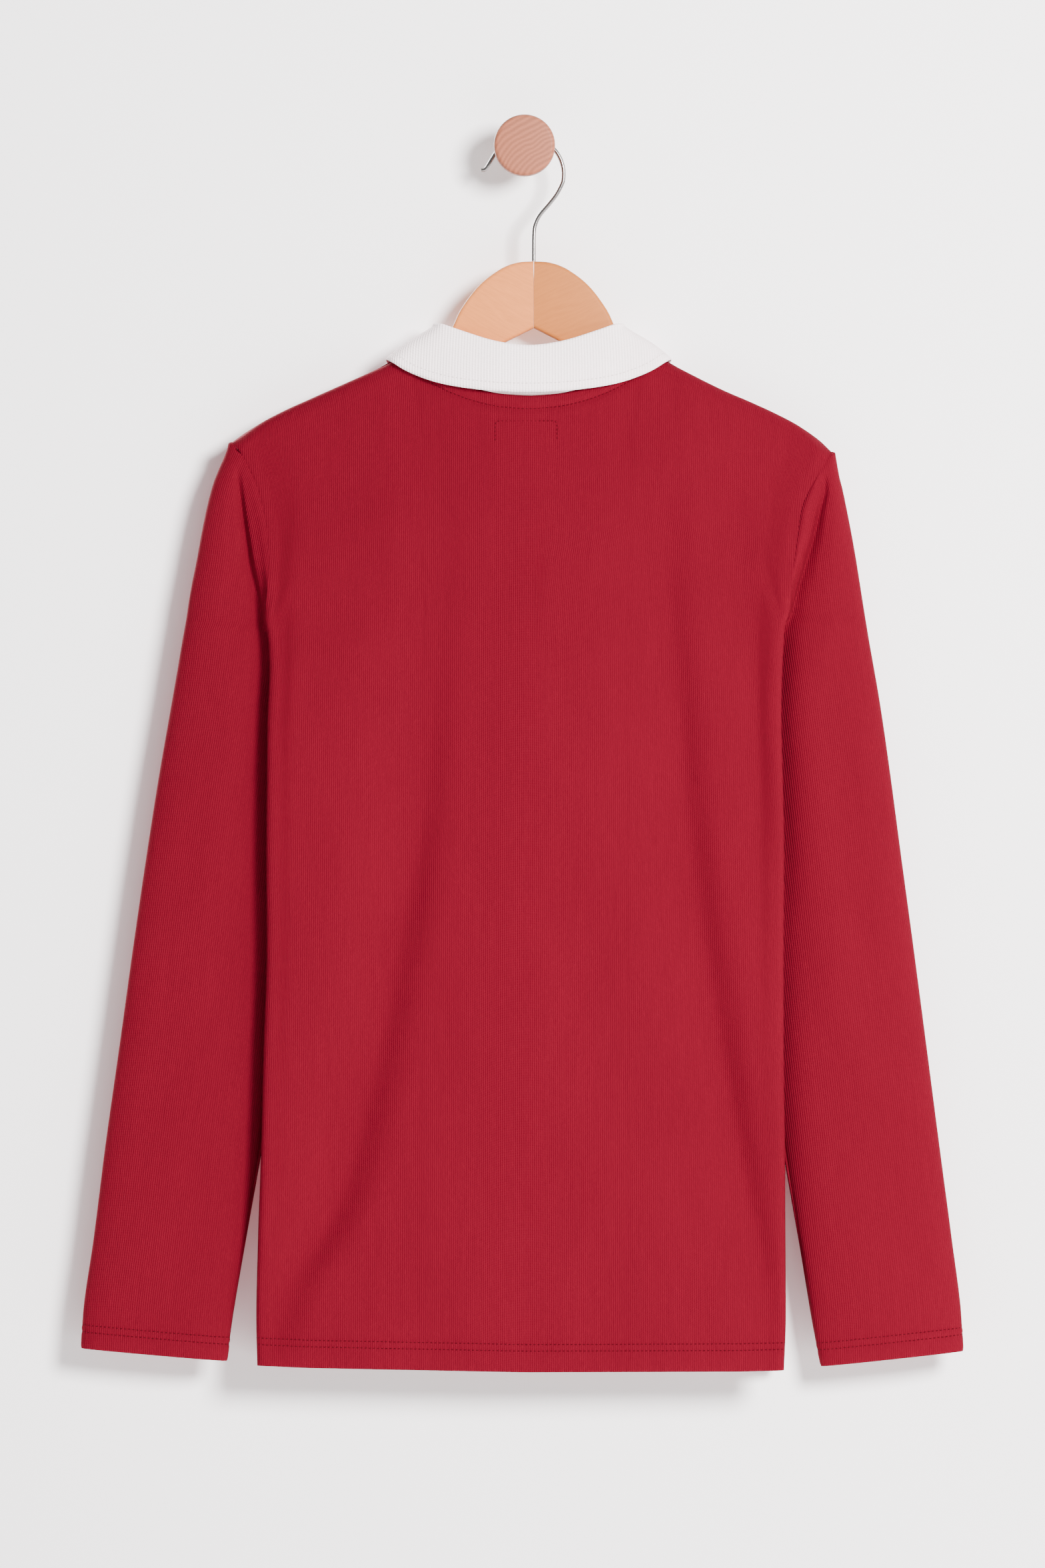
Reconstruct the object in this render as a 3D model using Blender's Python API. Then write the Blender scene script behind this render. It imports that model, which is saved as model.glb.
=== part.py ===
"""Knit quarter-zip top on a two-piece wooden hanger, hung over a round wooden wall peg.

Metres, +Z up. The origin is the middle of the peg where it meets the wall: the wall is the plane
Y = 0 and everything hangs on its -Y side. The garment's back faces -Y and its zip faces the wall.
All sizes and tables below are in millimetres.
"""

import math

import bmesh
import bpy
import numpy as np

MM = 0.001

CLOTH = 1.5
RIB = 1.8
TAPE = 1.0
SEAM_GAP = 0.3
HANGER_PLANE = -30.0

NECK_CENTRE = 3.0
NECK_HALF_WIDTH = 86.0
NECK_HIGH = -147.0
BACK_NECK_LOW = -176.2
FRONT_NECK_LOW = -226.5

ZIP_HALF_SLIT = 4.5
TAPE_REACH = 10.0
ROUND_POWER = 2.6
FOLD_RADIUS = 4.5
FLAP_CLEARANCE = 0.6
SIDE_CELLS = 7
GUSSET_CELLS = 4


def table(names, *rows):
    """A table with named columns: each name gives that column as an array."""
    return dict(zip(names.split(), np.array(rows, float).T))


def read(source, column, at, by):
    """The column's value where the column named by has the value at, straight between rows."""
    order = np.argsort(source[by])
    return np.interp(at, source[by][order], source[column][order])


# The shoulder line, on top of the cloth. Between the neck points it is the line carried on.
SHOULDER = table(
    "x z",
    (-240, -222), (-206.7, -208.6), (-195.8, -200.6), (-182.5, -192.7), (-166.8, -184.8),
    (-140.3, -173.0), (-97.3, -153.9), (-83, -147.0), (0, -138), (89, -147.0), (101.9, -152.5),
    (136.1, -169.9), (172, -185.4), (199.6, -199.9), (205.6, -204.1), (217.1, -215.4), (240, -226),
)

HEM = table("x z", (-190, -859.3), (-150, -861), (0, -864), (150, -863.5), (190, -862.6))

# How far the cloth stands out from the hanger's plane, by the depth below the shoulder line.
DRAPE = table(
    "below back front",
    (0, 0.15, 0.15),
    (0.8, 4.5, 4.5),
    (3.5, 8.0, 8.0),
    (9, 9.7, 9.7),
    (22, 11.2, 10.8),
    (60, 15.5, 11.8),
    (120, 24.0, 13.8),
    (190, 29.0, 15.6),
    (260, 31.0, 17.0),
    (800, 31.0, 17.0),
)

# Sections down each side, as distances out from X = 0. The seam is the armhole seam, then from
# the underarm the side seam at the bottom of the side tuck. The fold is the body's outer edge and,
# above the armhole, the crease beside it. The outer and inner columns are the sleeve's two edges.
LEFT = table(
    "z seam fold outer inner",
    (-208.6, 206.7, 207.0, 209.2, 206.7),
    (-209.4, 206.1, 206.8, 209.4, 206.1),
    (-212.1, 204.0, 205.6, 210.0, 204.0),
    (-217.5, 199.8, 203.5, 211.8, 199.8),
    (-226, 195.2, 201.5, 215.5, 195.2),
    (-238, 189.6, 199.4, 220.2, 189.6),
    (-252, 185.4, 197.6, 224.0, 185.4),
    (-270, 181.7, 195.0, 227.8, 181.7),
    (-292, 180.4, 191.6, 231.8, 180.4),
    (-315, 181.3, 186.6, 236.3, 181.3),
    (-335, 182.4, 182.8, 239.4, 182.4),
    (-343, 176.8, 181.3, 240.8, 176.8),
    (-352, 167.0, 180.2, 242.4, 167.0),
    (-368, 152.0, 179.5, 245.1, 152.0),
    (-386, 140.0, 180.0, 248.2, 140.0),
    (-403, 132.5, 180.8, 251.2, 133.0),
    (-445, 134.5, 181.3, 258.5, 140.5),
    (-500, 137.0, 181.7, 267.1, 149.9),
    (-565, 140.0, 181.4, 276.6, 160.9),
    (-635, 142.5, 183.5, 286.3, 172.8),
    (-705, 144.0, 185.2, 296.2, 184.9),
    (-770, 145.5, 187.6, 304.4, 196.5),
    (-825, 147.0, 188.8, 312.1, 206.0),
    (-861, 148.0, 188.1, 314.0, 210.6),
)
RIGHT = table(
    "z seam fold outer inner",
    (-215.4, 217.1, 217.4, 219.6, 217.1),
    (-216.2, 216.7, 217.3, 219.9, 216.7),
    (-218.9, 215.3, 216.4, 220.3, 215.3),
    (-224, 212.2, 214.8, 221.2, 212.2),
    (-232, 207.3, 212.5, 222.6, 207.3),
    (-243, 201.0, 210.0, 225.3, 201.0),
    (-256, 195.5, 206.8, 228.0, 195.5),
    (-272, 192.9, 203.3, 231.1, 192.9),
    (-292, 190.3, 197.5, 234.6, 190.3),
    (-313, 187.9, 191.2, 237.9, 187.9),
    (-329, 186.6, 187.0, 240.4, 186.6),
    (-337, 179.9, 184.4, 241.7, 179.9),
    (-348, 168.0, 182.9, 243.5, 168.0),
    (-366, 153.0, 181.8, 246.7, 153.0),
    (-386, 140.5, 181.1, 250.2, 140.5),
    (-403, 133.0, 180.9, 252.9, 133.5),
    (-445, 135.0, 181.8, 258.9, 139.5),
    (-500, 137.5, 182.8, 266.2, 147.2),
    (-565, 140.0, 182.4, 275.0, 158.0),
    (-635, 142.5, 182.5, 284.2, 169.7),
    (-705, 144.0, 183.3, 293.3, 181.8),
    (-770, 145.5, 183.7, 301.9, 193.4),
    (-825, 147.0, 184.0, 308.8, 202.0),
    (-861, 148.0, 182.6, 310.7, 209.6),
)
CROSSING_ROW = 10
UNDERARM_ROW = 15
ZIP_END_ROW = 14
CUFF = {"left": -849.0, "right": -851.0}
CUFF_DROP = {"left": 9.0, "right": 10.8}
CUFF_DROP_FROM = -430.0

# The sleeve: how far its back, its front and its outer edge stand out from the hanger's plane
# towards the back, and how deep the crease beside the armhole is.
SLEEVE = table(
    "z back front mid crease",
    (-208, 1.5, -1.5, 0, 0),
    (-212, 8.0, -8.0, 0, 0),
    (-218, 10.0, -9.0, 0, 0),
    (-226, 11.2, -9.0, 0.3, 0),
    (-238, 12.6, -8.8, 0.8, 2.0),
    (-252, 14.0, -8.5, 1.5, 3.5),
    (-270, 15.4, -8.2, 2.2, 4.0),
    (-300, 16.0, -8.0, 3.2, 3.0),
    (-335, 16.0, -8.0, 4.0, 1.5),
    (-350, 16.0, -8.0, 4.0, 0),
    (-780, 15.0, -7.0, 4.0, 0),
    (-861, 12.5, -4.5, 4.0, 0),
)

# Each long fold is a valley: its line down the panel, its depth, and its width on either side.
BACK_FOLDS = {
    "left": table(
        "z x depth gentle steep",
        (-215, -60, 0, 30, 16),
        (-391, -66.7, 2.0, 32, 16),
        (-462, -73, 4.0, 33, 16),
        (-556, -88, 6.0, 34, 16),
        (-650, -107, 7.0, 34, 17),
        (-744, -132, 7.0, 32, 18),
        (-814, -168, 4.0, 20, 16),
        (-862, -178, 0, 10, 10),
    ),
    "right": table(
        "z x depth gentle steep",
        (-225, 100, 0, 30, 17),
        (-320, 100, 2.5, 32, 17),
        (-391, 106, 4.0, 33, 17),
        (-462, 111.5, 5.0, 33, 17),
        (-556, 123.5, 6.0, 33, 17),
        (-650, 139, 6.5, 30, 16),
        (-744, 157, 5.0, 26, 12),
        (-814, 170, 2.5, 20, 10),
        (-862, 175, 0, 10, 8),
    ),
    "edge": table(
        "z x depth gentle steep",
        (-230, 145, 0, 20, 12),
        (-300, 153, 2.0, 22, 12),
        (-391, 162, 2.5, 20, 10),
        (-470, 168, 1.5, 16, 8),
        (-510, 171, 0, 12, 8),
    ),
}
FRONT_FOLDS = {
    "left": table(
        "z x depth gentle steep",
        (-300, -70, 0, 26, 20),
        (-500, -84, 3.0, 28, 20),
        (-700, -112, 3.0, 28, 20),
        (-862, -150, 0, 18, 14),
    ),
    "right": table(
        "z x depth gentle steep",
        (-300, 78, 0, 20, 26),
        (-500, 92, 3.0, 20, 28),
        (-700, 118, 3.0, 20, 28),
        (-862, 150, 0, 14, 18),
    ),
}

# The collar from centre back to the front end, x out from the neck's middle and y out from the
# hanger's plane towards the back: the x of its foot on the neck seam, its fold and its lower edge.
COLLAR = table(
    "foot_x fold_x fold_y fold_z edge_x edge_y edge_z",
    (0, 0, 14.6, -141.1, 0, 19.0, -174.1),
    (29, 24, 14.2, -138.0, 32, 18.6, -172.7),
    (52, 46, 12.4, -131.2, 62, 16.8, -168.0),
    (73, 59.5, 10.4, -126.4, 84, 14.4, -160.2),
    (82, 63.8, 6.4, -125.4, 96.5, 11.4, -152.8),
    (85.5, 65.4, 0, -125.2, 101, 0, -150.4),
    (82, 63.8, -6.6, -126.6, 98, -11.8, -155.8),
    (73, 59.5, -10.8, -130.5, 92, -15.4, -167.0),
    (52, 48, -13.2, -150.0, 80, -18.2, -195.0),
    (28, 28, -15.6, -181.0, 66, -18.8, -228.0),
    (7, 9, -16.8, -210.0, 50, -19.2, -261.0),
)
COLLAR_FOOT_GAP = 1.0
COLLAR_STEPS = 3
COLLAR_FOLD_RADIUS = 2.2

# The hanger's arms, out from its middle: the top, then the underside.
HANGER_MIDDLE = 6.5
HANGER_HALF_LENGTH = 195.0
ARM_THICK = 12.0
ARM_BEVEL = 2.6
ARM_UNDER_CLOTH = 4.9
ARM_TOP = table(
    "out z",
    (0, -81.0), (7, -81.2), (14.5, -82.6), (21.5, -85.3), (28.5, -89.6), (34, -93.7), (39, -98.3),
    (44, -104.1), (48, -109.6), (53, -117.4), (57, -126.4), (61, -134.8), (66, -141.0), (75, -150.0),
    (84, -155.2),
)
ARM_FOLLOWS_SHOULDER_FROM = 98.0
ARM_UNDER = table("out z", (0, -128.0), (100, -178.5), (184, -218.5), (191, -219.5))

WIRE = 3.0
HOOK_CENTRE = (1.4, -19.0)
HOOK_RADIUS = 26.3
HOOK_TAIL = table("x z", (-30.6, -16.4), (-28.2, -16.0), (-26.2, -13.9))
HOOK_ARC = (152.0, -8.0)
HOOK_STEM = table(
    "x z",
    (26.4, -26.4), (22.6, -33.6), (17.2, -40.6), (11.4, -47.4), (8.1, -53.4), (6.7, -60.5), (6.5, -80.7),
)

PEG_NECK_RADIUS = 5.5
PEG_RADIUS = 21.6
PEG_LENGTH = 50.0
PEG_HEAD = 14.0
PEG_EDGE = 3.0

SLIDER_TOP = -233.0
SLIDER = {"width": 7.6, "height": 14.0, "thick": 2.6}
BRIDGE = {"width": 2.4, "height": 7.0, "thick": 1.0, "room": 2.1}
PULL = {"width": 7.2, "length": 27.0, "thick": 1.5, "bar": 1.3, "eye": 4.4}
PULL_FROM_AXIS = 6.6


def shoulder_line(x):
    return np.interp(x, SHOULDER["x"], SHOULDER["z"])


def top_edge(face, x):
    """A panel's top edge: the shoulder line, and the neck curve between the neck points."""
    share = np.clip(np.abs(x - NECK_CENTRE) / NECK_HALF_WIDTH, 0, 1)
    low = BACK_NECK_LOW if face == "back" else FRONT_NECK_LOW
    neck = low + (NECK_HIGH - low) * share**2.1
    return np.where(share < 1, neck, shoulder_line(x))


def fold_depth(folds, x, z):
    """The depth of the long folds: each is a bell across its line, gentle on -X and steep on +X."""
    depth = np.zeros(np.broadcast(x, z).shape)
    for fold in folds.values():
        away = x - read(fold, "x", z, "z")
        width = np.where(away < 0, read(fold, "gentle", z, "z"), read(fold, "steep", z, "z"))
        depth = depth + read(fold, "depth", z, "z") * np.exp(-((away / width) ** 2))
    return depth


def stand_out(face, x, z):
    """How far the outside of a panel stands out from the hanger's plane at (x, z)."""
    below = shoulder_line(x) - z
    folds = BACK_FOLDS if face == "back" else FRONT_FOLDS
    return np.interp(below, DRAPE["below"], DRAPE[face]) - fold_depth(folds, x, z)


def sleeve_level(face, z):
    """How far the sleeve's flat stands out on a face, and its outer edge, both outwards there."""
    sign = 1 if face == "back" else -1
    return sign * read(SLEEVE, face, z, "z"), sign * read(SLEEVE, "mid", z, "z")


class Section:
    """One horizontal section through one side of one face, in distances out from X = 0."""

    def __init__(self, side, face, row):
        rows = LEFT if side == "left" else RIGHT
        self.sign = -1 if side == "left" else 1
        self.face = face
        self.row = row
        self.z = rows["z"][row]
        self.seam = rows["seam"][row]
        self.fold = rows["fold"][row]
        self.flat, self.mid = sleeve_level(face, self.z)
        self.crease = read(SLEEVE, "crease", self.z, "z")
        self.top = self.stand(self.fold)
        room = self.top - self.flat - FLAP_CLEARANCE
        self.radius = min(max(room / 2, 0.5), FOLD_RADIUS)
        self.flap = max(0.0, self.fold - self.radius - self.seam)

    def stand(self, distance):
        return stand_out(self.face, self.sign * distance, self.z)

    def seam_reach(self):
        """The length of cloth from the start of the fold's turn to the seam."""
        turn = math.pi * self.radius
        if self.row < CROSSING_ROW:
            return 6.3
        if self.row == CROSSING_ROW:
            return turn / 2
        if self.row < UNDERARM_ROW:
            return turn + self.flap
        return turn + self.flap + self.top - 2 * self.radius - self.mid - SEAM_GAP / 2

    def panel_columns(self):
        """(distance, stand-out) of the panel's side columns, from the flat to the seam."""
        reach = self.seam_reach()
        share = np.linspace(0, 1, SIDE_CELLS + 1)
        if self.row < CROSSING_ROW:
            distance = self.seam - SEAM_GAP / 2 - reach * (1 - share)
            return distance, self.stand(distance)
        turn = math.pi * self.radius
        along = reach * share
        if self.flap > 3:
            corner = self.flap if self.row >= UNDERARM_ROW else self.flap - 2
            rest = [turn + self.flap / 2, turn + corner, reach]
            along = np.concatenate([turn * np.linspace(0, 1, 5), rest])
        angle = np.clip(along / self.radius, 0, math.pi)
        back = np.clip(along - turn, 0, self.flap)
        down = np.clip(along - turn - self.flap, 0, None)
        distance = self.fold - self.radius + self.radius * np.sin(angle) - back
        out = self.top - self.radius * (1 - np.cos(angle)) - down
        return distance, out

    def sleeve_columns(self, cells, outer, inner):
        """(distance, stand-out) of the sleeve's half, from the armhole seam to its outer edge."""
        total = GUSSET_CELLS + cells
        share = (1 - np.cos(np.linspace(0, math.pi, total + 1))) / 2
        if self.row > CROSSING_ROW:
            start = inner if self.row >= UNDERARM_ROW else self.seam
            reach = share if self.row >= UNDERARM_ROW else np.maximum(share, 0.5)
            rise = (1 - np.abs(2 * reach - 1) ** ROUND_POWER) ** (1 / ROUND_POWER)
            distance = start + (outer - start) * share
            out = self.mid + (self.flat - self.mid) * rise
            if self.row < UNDERARM_ROW:
                out[0] = self.top - 2 * self.radius - SEAM_GAP
            return distance, out
        valley = self.fold + 2.5
        along = np.sin(np.linspace(0, math.pi / 2, cells + 1))
        rise = (1 - along**ROUND_POWER) ** (1 / ROUND_POWER)
        distance = valley + (outer - valley) * along
        dip = self.crease * np.clip(1 - along / 0.35, 0, 1) ** 2
        out = self.mid + (self.flat - self.mid) * rise - dip
        if self.row == CROSSING_ROW:
            start = (self.fold, self.top - self.radius - SEAM_GAP)
            gusset_distance = np.linspace(start[0], valley, GUSSET_CELLS + 1)
            gusset_out = np.linspace(start[1], out[0], GUSSET_CELLS + 1)
        else:
            first = self.seam + SEAM_GAP / 2
            turn = max(self.fold - self.radius, first + 0.5)
            bend = turn + self.radius * 0.87
            top = self.stand(np.array([first, turn]))
            fall = top[1] - out[0]
            gusset_distance = np.array([first, turn, bend, (bend + valley) / 2, valley])
            gusset_out = np.array([top[0], top[1], top[1] - fall * 0.2, out[0] + fall * 0.3, out[0]])
        distance = np.concatenate([gusset_distance[:-1], distance])
        out = np.concatenate([gusset_out[:-1], out])
        first = gusset_distance[0], gusset_out[0]
        even = first[0] + (outer - first[0]) * share
        close = self.mid + (first[1] - self.mid) * (1 - share**ROUND_POWER) ** (1 / ROUND_POWER)
        blend = np.clip((outer - self.seam - 12) / 12, 0, 1)
        return even + (distance - even) * blend, close + (out - close) * blend


def panel_grid(face, inner_cells, outer_cells, middle):
    """A panel's outside as rows down and columns across: tuck, flat, flat, tuck."""
    row_count = len(LEFT["z"])
    halves = {}
    for side, rows in (("left", LEFT), ("right", RIGHT)):
        sign = -1 if side == "left" else 1
        neck_point = NECK_HALF_WIDTH + sign * NECK_CENTRE
        points = []
        for row in range(row_count):
            section = Section(side, face, row)
            distance, out = section.panel_columns()
            if row == 0:
                neck_share = neck_point / distance[0]
            neck = neck_share * distance[0]
            near = np.linspace(middle + sign * NECK_CENTRE, 0.85 * neck, inner_cells - 1)
            near = np.append(near, [0.955 * neck, neck])
            far = np.linspace(neck, distance[0], outer_cells + 1)
            flat = np.concatenate([near, far[1:-1]])
            share = (section.z - rows["z"][0]) / (rows["z"][-1] - rows["z"][0])
            x = sign * np.concatenate([flat, distance])
            top = top_edge(face, x)
            bottom = np.interp(x, HEM["x"], HEM["z"])
            z = top + (bottom - top) * share
            tilt = max(0, 1 - row / CROSSING_ROW) ** 2
            level = section.z + tilt * (top[len(flat):] - top[-1])
            z[len(flat):] = np.where(share < 1, level, z[len(flat):])
            stand = np.concatenate([stand_out(face, sign * flat, z[:len(flat)]), out])
            points.append(np.stack([x, stand, z], axis=1))
        halves[side] = np.array(points)
    left = halves["left"][:, ::-1]
    right = halves["right"] if middle else halves["right"][:, 1:]
    grid = np.concatenate([left, right], axis=1)
    toward = -1 if face == "back" else 1
    grid[:, :, 1] = HANGER_PLANE + toward * grid[:, :, 1]
    return grid


def sleeve_grid(side, cells):
    """A sleeve's outside: its back from the seam to its outer edge, then its front to the seam."""
    rows = LEFT if side == "left" else RIGHT
    sign = -1 if side == "left" else 1
    last = len(rows["z"]) - 1
    grid = []
    for row in range(last + 1):
        z = CUFF[side] if row == last else rows["z"][row]
        outer = read(rows, "outer", z, "z")
        drop = CUFF_DROP[side] * np.clip((z - CUFF_DROP_FROM) / (CUFF[side] - CUFF_DROP_FROM), 0, 1)
        inner = read(rows, "inner", z - drop, "z")
        halves = []
        for face, toward in (("back", -1), ("front", 1)):
            distance, out = Section(side, face, row).sleeve_columns(cells[face], outer, inner)
            lower = drop * (outer - distance) / (outer - inner + 1e-9)
            points = [sign * distance, HANGER_PLANE + toward * out, z - lower]
            halves.append(np.stack(points, axis=1))
        grid.append(np.concatenate([halves[0], halves[1][-2::-1]]))
    return np.array(grid)


def cell_faces(indices, keep=None):
    """Four-cornered faces of a grid of point numbers, wound down and then across."""
    faces = np.stack(
        [indices[:-1, :-1], indices[1:, :-1], indices[1:, 1:], indices[:-1, 1:]], axis=2
    )
    return faces.reshape(-1, 4) if keep is None else faces[keep]


def point_normals(points, faces):
    """Each point's normal: the mean of its faces' unit normals."""
    corners = points[faces]
    normals = np.cross(corners[:, 2] - corners[:, 0], corners[:, 3] - corners[:, 1])
    normals /= np.linalg.norm(normals, axis=1, keepdims=True) + 1e-12
    total = np.zeros_like(points)
    for corner in range(4):
        np.add.at(total, faces[:, corner], normals)
    return total / (np.linalg.norm(total, axis=1, keepdims=True) + 1e-12)


def wall_faces(faces, count):
    """The faces of a wall: the outside, the inside turned round, and a rim round every free edge.

    Each piece of rim is two triangles that share the same diagonal on both sides of a seam.
    """
    edges = np.concatenate([faces[:, [0, 1]], faces[:, [1, 2]], faces[:, [2, 3]], faces[:, [3, 0]]])
    twins = set(map(tuple, edges[:, ::-1].tolist()))
    rim = []
    for a, b in edges.tolist():
        if (a, b) in twins:
            continue
        in_a, in_b = a + count, b + count
        rim += [(b, a, in_b), (a, in_a, in_b)] if a < b else [(b, a, in_a), (b, in_a, in_b)]
    return faces.tolist() + (faces[:, ::-1] + count).tolist() + rim


def make_object(name, points, faces, material):
    mesh = bpy.data.meshes.new(name)
    mesh.from_pydata((points * MM).tolist(), [], faces)
    work = bmesh.new()
    work.from_mesh(mesh)
    bmesh.ops.delete(work, geom=[v for v in work.verts if not v.link_faces], context="VERTS")
    work.to_mesh(mesh)
    work.free()
    mesh.materials.append(material)
    mesh.shade_smooth()
    mesh.set_sharp_from_angle(angle=math.radians(50))
    made = bpy.data.objects.new(name, mesh)
    bpy.context.collection.objects.link(made)
    return made


def make_material(name, colour, roughness, metallic=0.0):
    material = bpy.data.materials.new(name)
    material.use_nodes = True
    shader = material.node_tree.nodes["Principled BSDF"]
    shader.inputs["Base Color"].default_value = (*colour, 1)
    shader.inputs["Roughness"].default_value = roughness
    shader.inputs["Metallic"].default_value = metallic
    return material


def flatten(normals, chosen, axis):
    """The chosen normals with one part taken out, so that a seam's rim lies in the seam's plane."""
    normals[chosen, axis] = 0
    normals[chosen] /= np.linalg.norm(normals[chosen], axis=1, keepdims=True) + 1e-12


def build_cloth(red):
    """The two panels and the two sleeves, whose walls share one direction along each seam."""
    panels = {
        "back": panel_grid("back", 6, 7, 0),
        "front": panel_grid("front", 6, 5, ZIP_HALF_SLIT),
    }
    pieces = {}
    for face, grid in panels.items():
        rows, columns = grid.shape[:2]
        indices = np.arange(rows * columns).reshape(rows, columns)
        keep = np.ones((rows - 1, columns - 1), bool)
        if face == "front":
            keep[:ZIP_END_ROW, columns // 2 - 1] = False
        faces = cell_faces(indices, keep)
        if face == "front":
            faces = faces[:, ::-1]
        points = grid.reshape(-1, 3)
        normals = point_normals(points, faces)
        on_shoulder = np.abs(grid[0, :, 0] - NECK_CENTRE) >= NECK_HALF_WIDTH - 0.5
        flatten(normals, indices[0][on_shoulder], 1)
        flatten(normals, indices[UNDERARM_ROW:, [0, -1]].reshape(-1), 1)
        pieces[face] = (points, faces, normals, indices)
    cells = {"back": 7, "front": 5}
    for side in ("left", "right"):
        grid = sleeve_grid(side, cells)
        rows, columns = grid.shape[:2]
        indices = np.arange(rows * columns).reshape(rows, columns)
        indices[UNDERARM_ROW:, -1] = indices[UNDERARM_ROW:, 0]
        faces = cell_faces(indices)
        if side == "left":
            faces = faces[:, ::-1]
        points = grid.reshape(-1, 3)
        normals = point_normals(points, faces)
        for face, column in (("back", 0), ("front", -1)):
            panel = pieces[face]
            edge = panel[3][:UNDERARM_ROW, 0 if side == "left" else -1]
            own = indices[:UNDERARM_ROW, column]
            shared = normals[own] + panel[2][edge]
            agree = (normals[own] * panel[2][edge]).sum(axis=1) > 0.1
            shared /= np.linalg.norm(shared, axis=1, keepdims=True) + 1e-12
            normals[own[agree]] = shared[agree]
            panel[2][edge[agree]] = shared[agree]
            crossing = [own[CROSSING_ROW]], [edge[CROSSING_ROW]]
            normals[crossing[0]] = panel[2][crossing[1]] = (1 if side == "right" else -1, 0, 0)
        pieces[side] = (points, faces, normals, indices)
    names = {"back": "back_panel", "front": "front_panel", "left": "sleeve_left", "right": "sleeve_right"}
    for key, name in names.items():
        points, faces, normals, indices = pieces[key]
        thick = np.full((len(points), 1), CLOTH)
        if key in ("left", "right"):
            thick[indices[0]] = 0.35
            thick[indices[1]] = 0.6
        walls = np.concatenate([points, points - normals * thick])
        make_object(name, walls, wall_faces(faces, len(points)), red)


def smooth_rows(rows, steps):
    """Rows of numbers with steps between each pair, on a smooth curve through all of them."""
    ends = np.concatenate([2 * rows[:1] - rows[1:2], rows, 2 * rows[-1:] - rows[-2:-1]])
    t = (np.arange(steps) / steps)[None, :, None]
    before, start, end, after = (ends[i:len(rows) - 1 + i][:, None] for i in range(4))
    curve = (
        2 * start + (end - before) * t + (2 * before - 5 * start + 4 * end - after) * t**2
        + (3 * start - before - 3 * end + after) * t**3
    ) / 2
    return np.concatenate([curve.reshape(-1, rows.shape[1]), rows[-1:]])


def collar_grid():
    """The collar's middle sheet: from its foot up the stand, round the fold and down the fall."""
    half = np.stack([COLLAR[name] for name in COLLAR], axis=1)
    mirrored = half[:0:-1].copy()
    mirrored[:, [0, 1, 4]] *= -1
    stations = smooth_rows(np.concatenate([mirrored, half]), COLLAR_STEPS)
    fold, edge = stations[:, 1:4], stations[:, 4:7]
    foot_x = np.clip(stations[:, 0], -NECK_HALF_WIDTH + 0.5, NECK_HALF_WIDTH - 0.5)
    side_station = COLLAR_STEPS * int(np.argmax(COLLAR["foot_x"]))
    behind = np.abs(np.arange(len(stations)) - len(stations) // 2) <= side_station
    foot = np.zeros((len(stations), 3))
    for face, chosen, toward in (("back", behind, 1), ("front", ~behind, -1)):
        x = foot_x[chosen] + NECK_CENTRE
        z = top_edge(face, x)
        out = toward * (stand_out(face, x, z) - CLOTH / 2)
        foot[chosen] = np.stack([foot_x[chosen], out, z + COLLAR_FOOT_GAP], axis=1)
    along = np.gradient(fold[:, :2], axis=0)
    outward = np.stack([-along[:, 1], along[:, 0], np.zeros(len(fold))], axis=1)
    outward /= np.linalg.norm(outward, axis=1, keepdims=True)
    up = np.array([0, 0, COLLAR_FOLD_RADIUS])
    inside = fold - outward * COLLAR_FOLD_RADIUS - up
    outside = fold + outward * COLLAR_FOLD_RADIUS - up
    shoulder_in = fold - outward * COLLAR_FOLD_RADIUS * 0.7 - up * 0.3
    shoulder_out = fold + outward * COLLAR_FOLD_RADIUS * 0.7 - up * 0.3
    middle = (foot + inside) / 2
    belly = outside + (edge - outside) * 0.45 + outward * 1.0
    sheet = np.stack([foot, middle, inside, shoulder_in, shoulder_out, outside, belly, edge])
    sheet[:, :, 0] += NECK_CENTRE
    sheet[:, :, 1] = HANGER_PLANE - sheet[:, :, 1]
    return sheet


def build_collar(white):
    sheet = collar_grid()
    points = sheet.reshape(-1, 3)
    indices = np.arange(len(points)).reshape(sheet.shape[:2])
    faces = cell_faces(indices)
    normals = point_normals(points, faces)
    walls = np.concatenate([points + normals * RIB / 2, points - normals * RIB / 2])
    make_object("collar", walls, wall_faces(faces, len(points)), white)


def build_tapes(red):
    """Two tapes behind the slit's edges, made from the front panel's surface moved in."""
    heights = np.linspace(FRONT_NECK_LOW - 2.0, -404.0, 9)
    for side, sign in (("left", -1), ("right", 1)):
        reach = np.array([SEAM_GAP / 2, ZIP_HALF_SLIT, TAPE_REACH])
        x, z = np.meshgrid(NECK_CENTRE + sign * reach, heights)
        out = stand_out("front", x, z) - CLOTH - SEAM_GAP
        outer = np.stack([x, HANGER_PLANE + out, z], axis=2).reshape(-1, 3)
        inner = outer - np.array([0, TAPE, 0])
        faces = cell_faces(np.arange(x.size).reshape(x.shape))
        if sign > 0:
            faces = faces[:, ::-1]
        walls = np.concatenate([outer, inner])
        make_object(f"zip_tape_{side}", walls, wall_faces(faces, x.size), red)


def plate(outline, low, high):
    """A flat plate in X and Z: its outline carried from y = low to y = high, as a new bmesh."""
    work = bmesh.new()
    bottom = work.faces.new([work.verts.new((x * MM, low * MM, z * MM)) for x, z in outline])
    grown = bmesh.ops.extrude_face_region(work, geom=[bottom])
    verts = [item for item in grown["geom"] if isinstance(item, bmesh.types.BMVert)]
    bmesh.ops.translate(work, verts=verts, vec=(0, (high - low) * MM, 0))
    bmesh.ops.recalc_face_normals(work, faces=work.faces)
    return work


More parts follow.
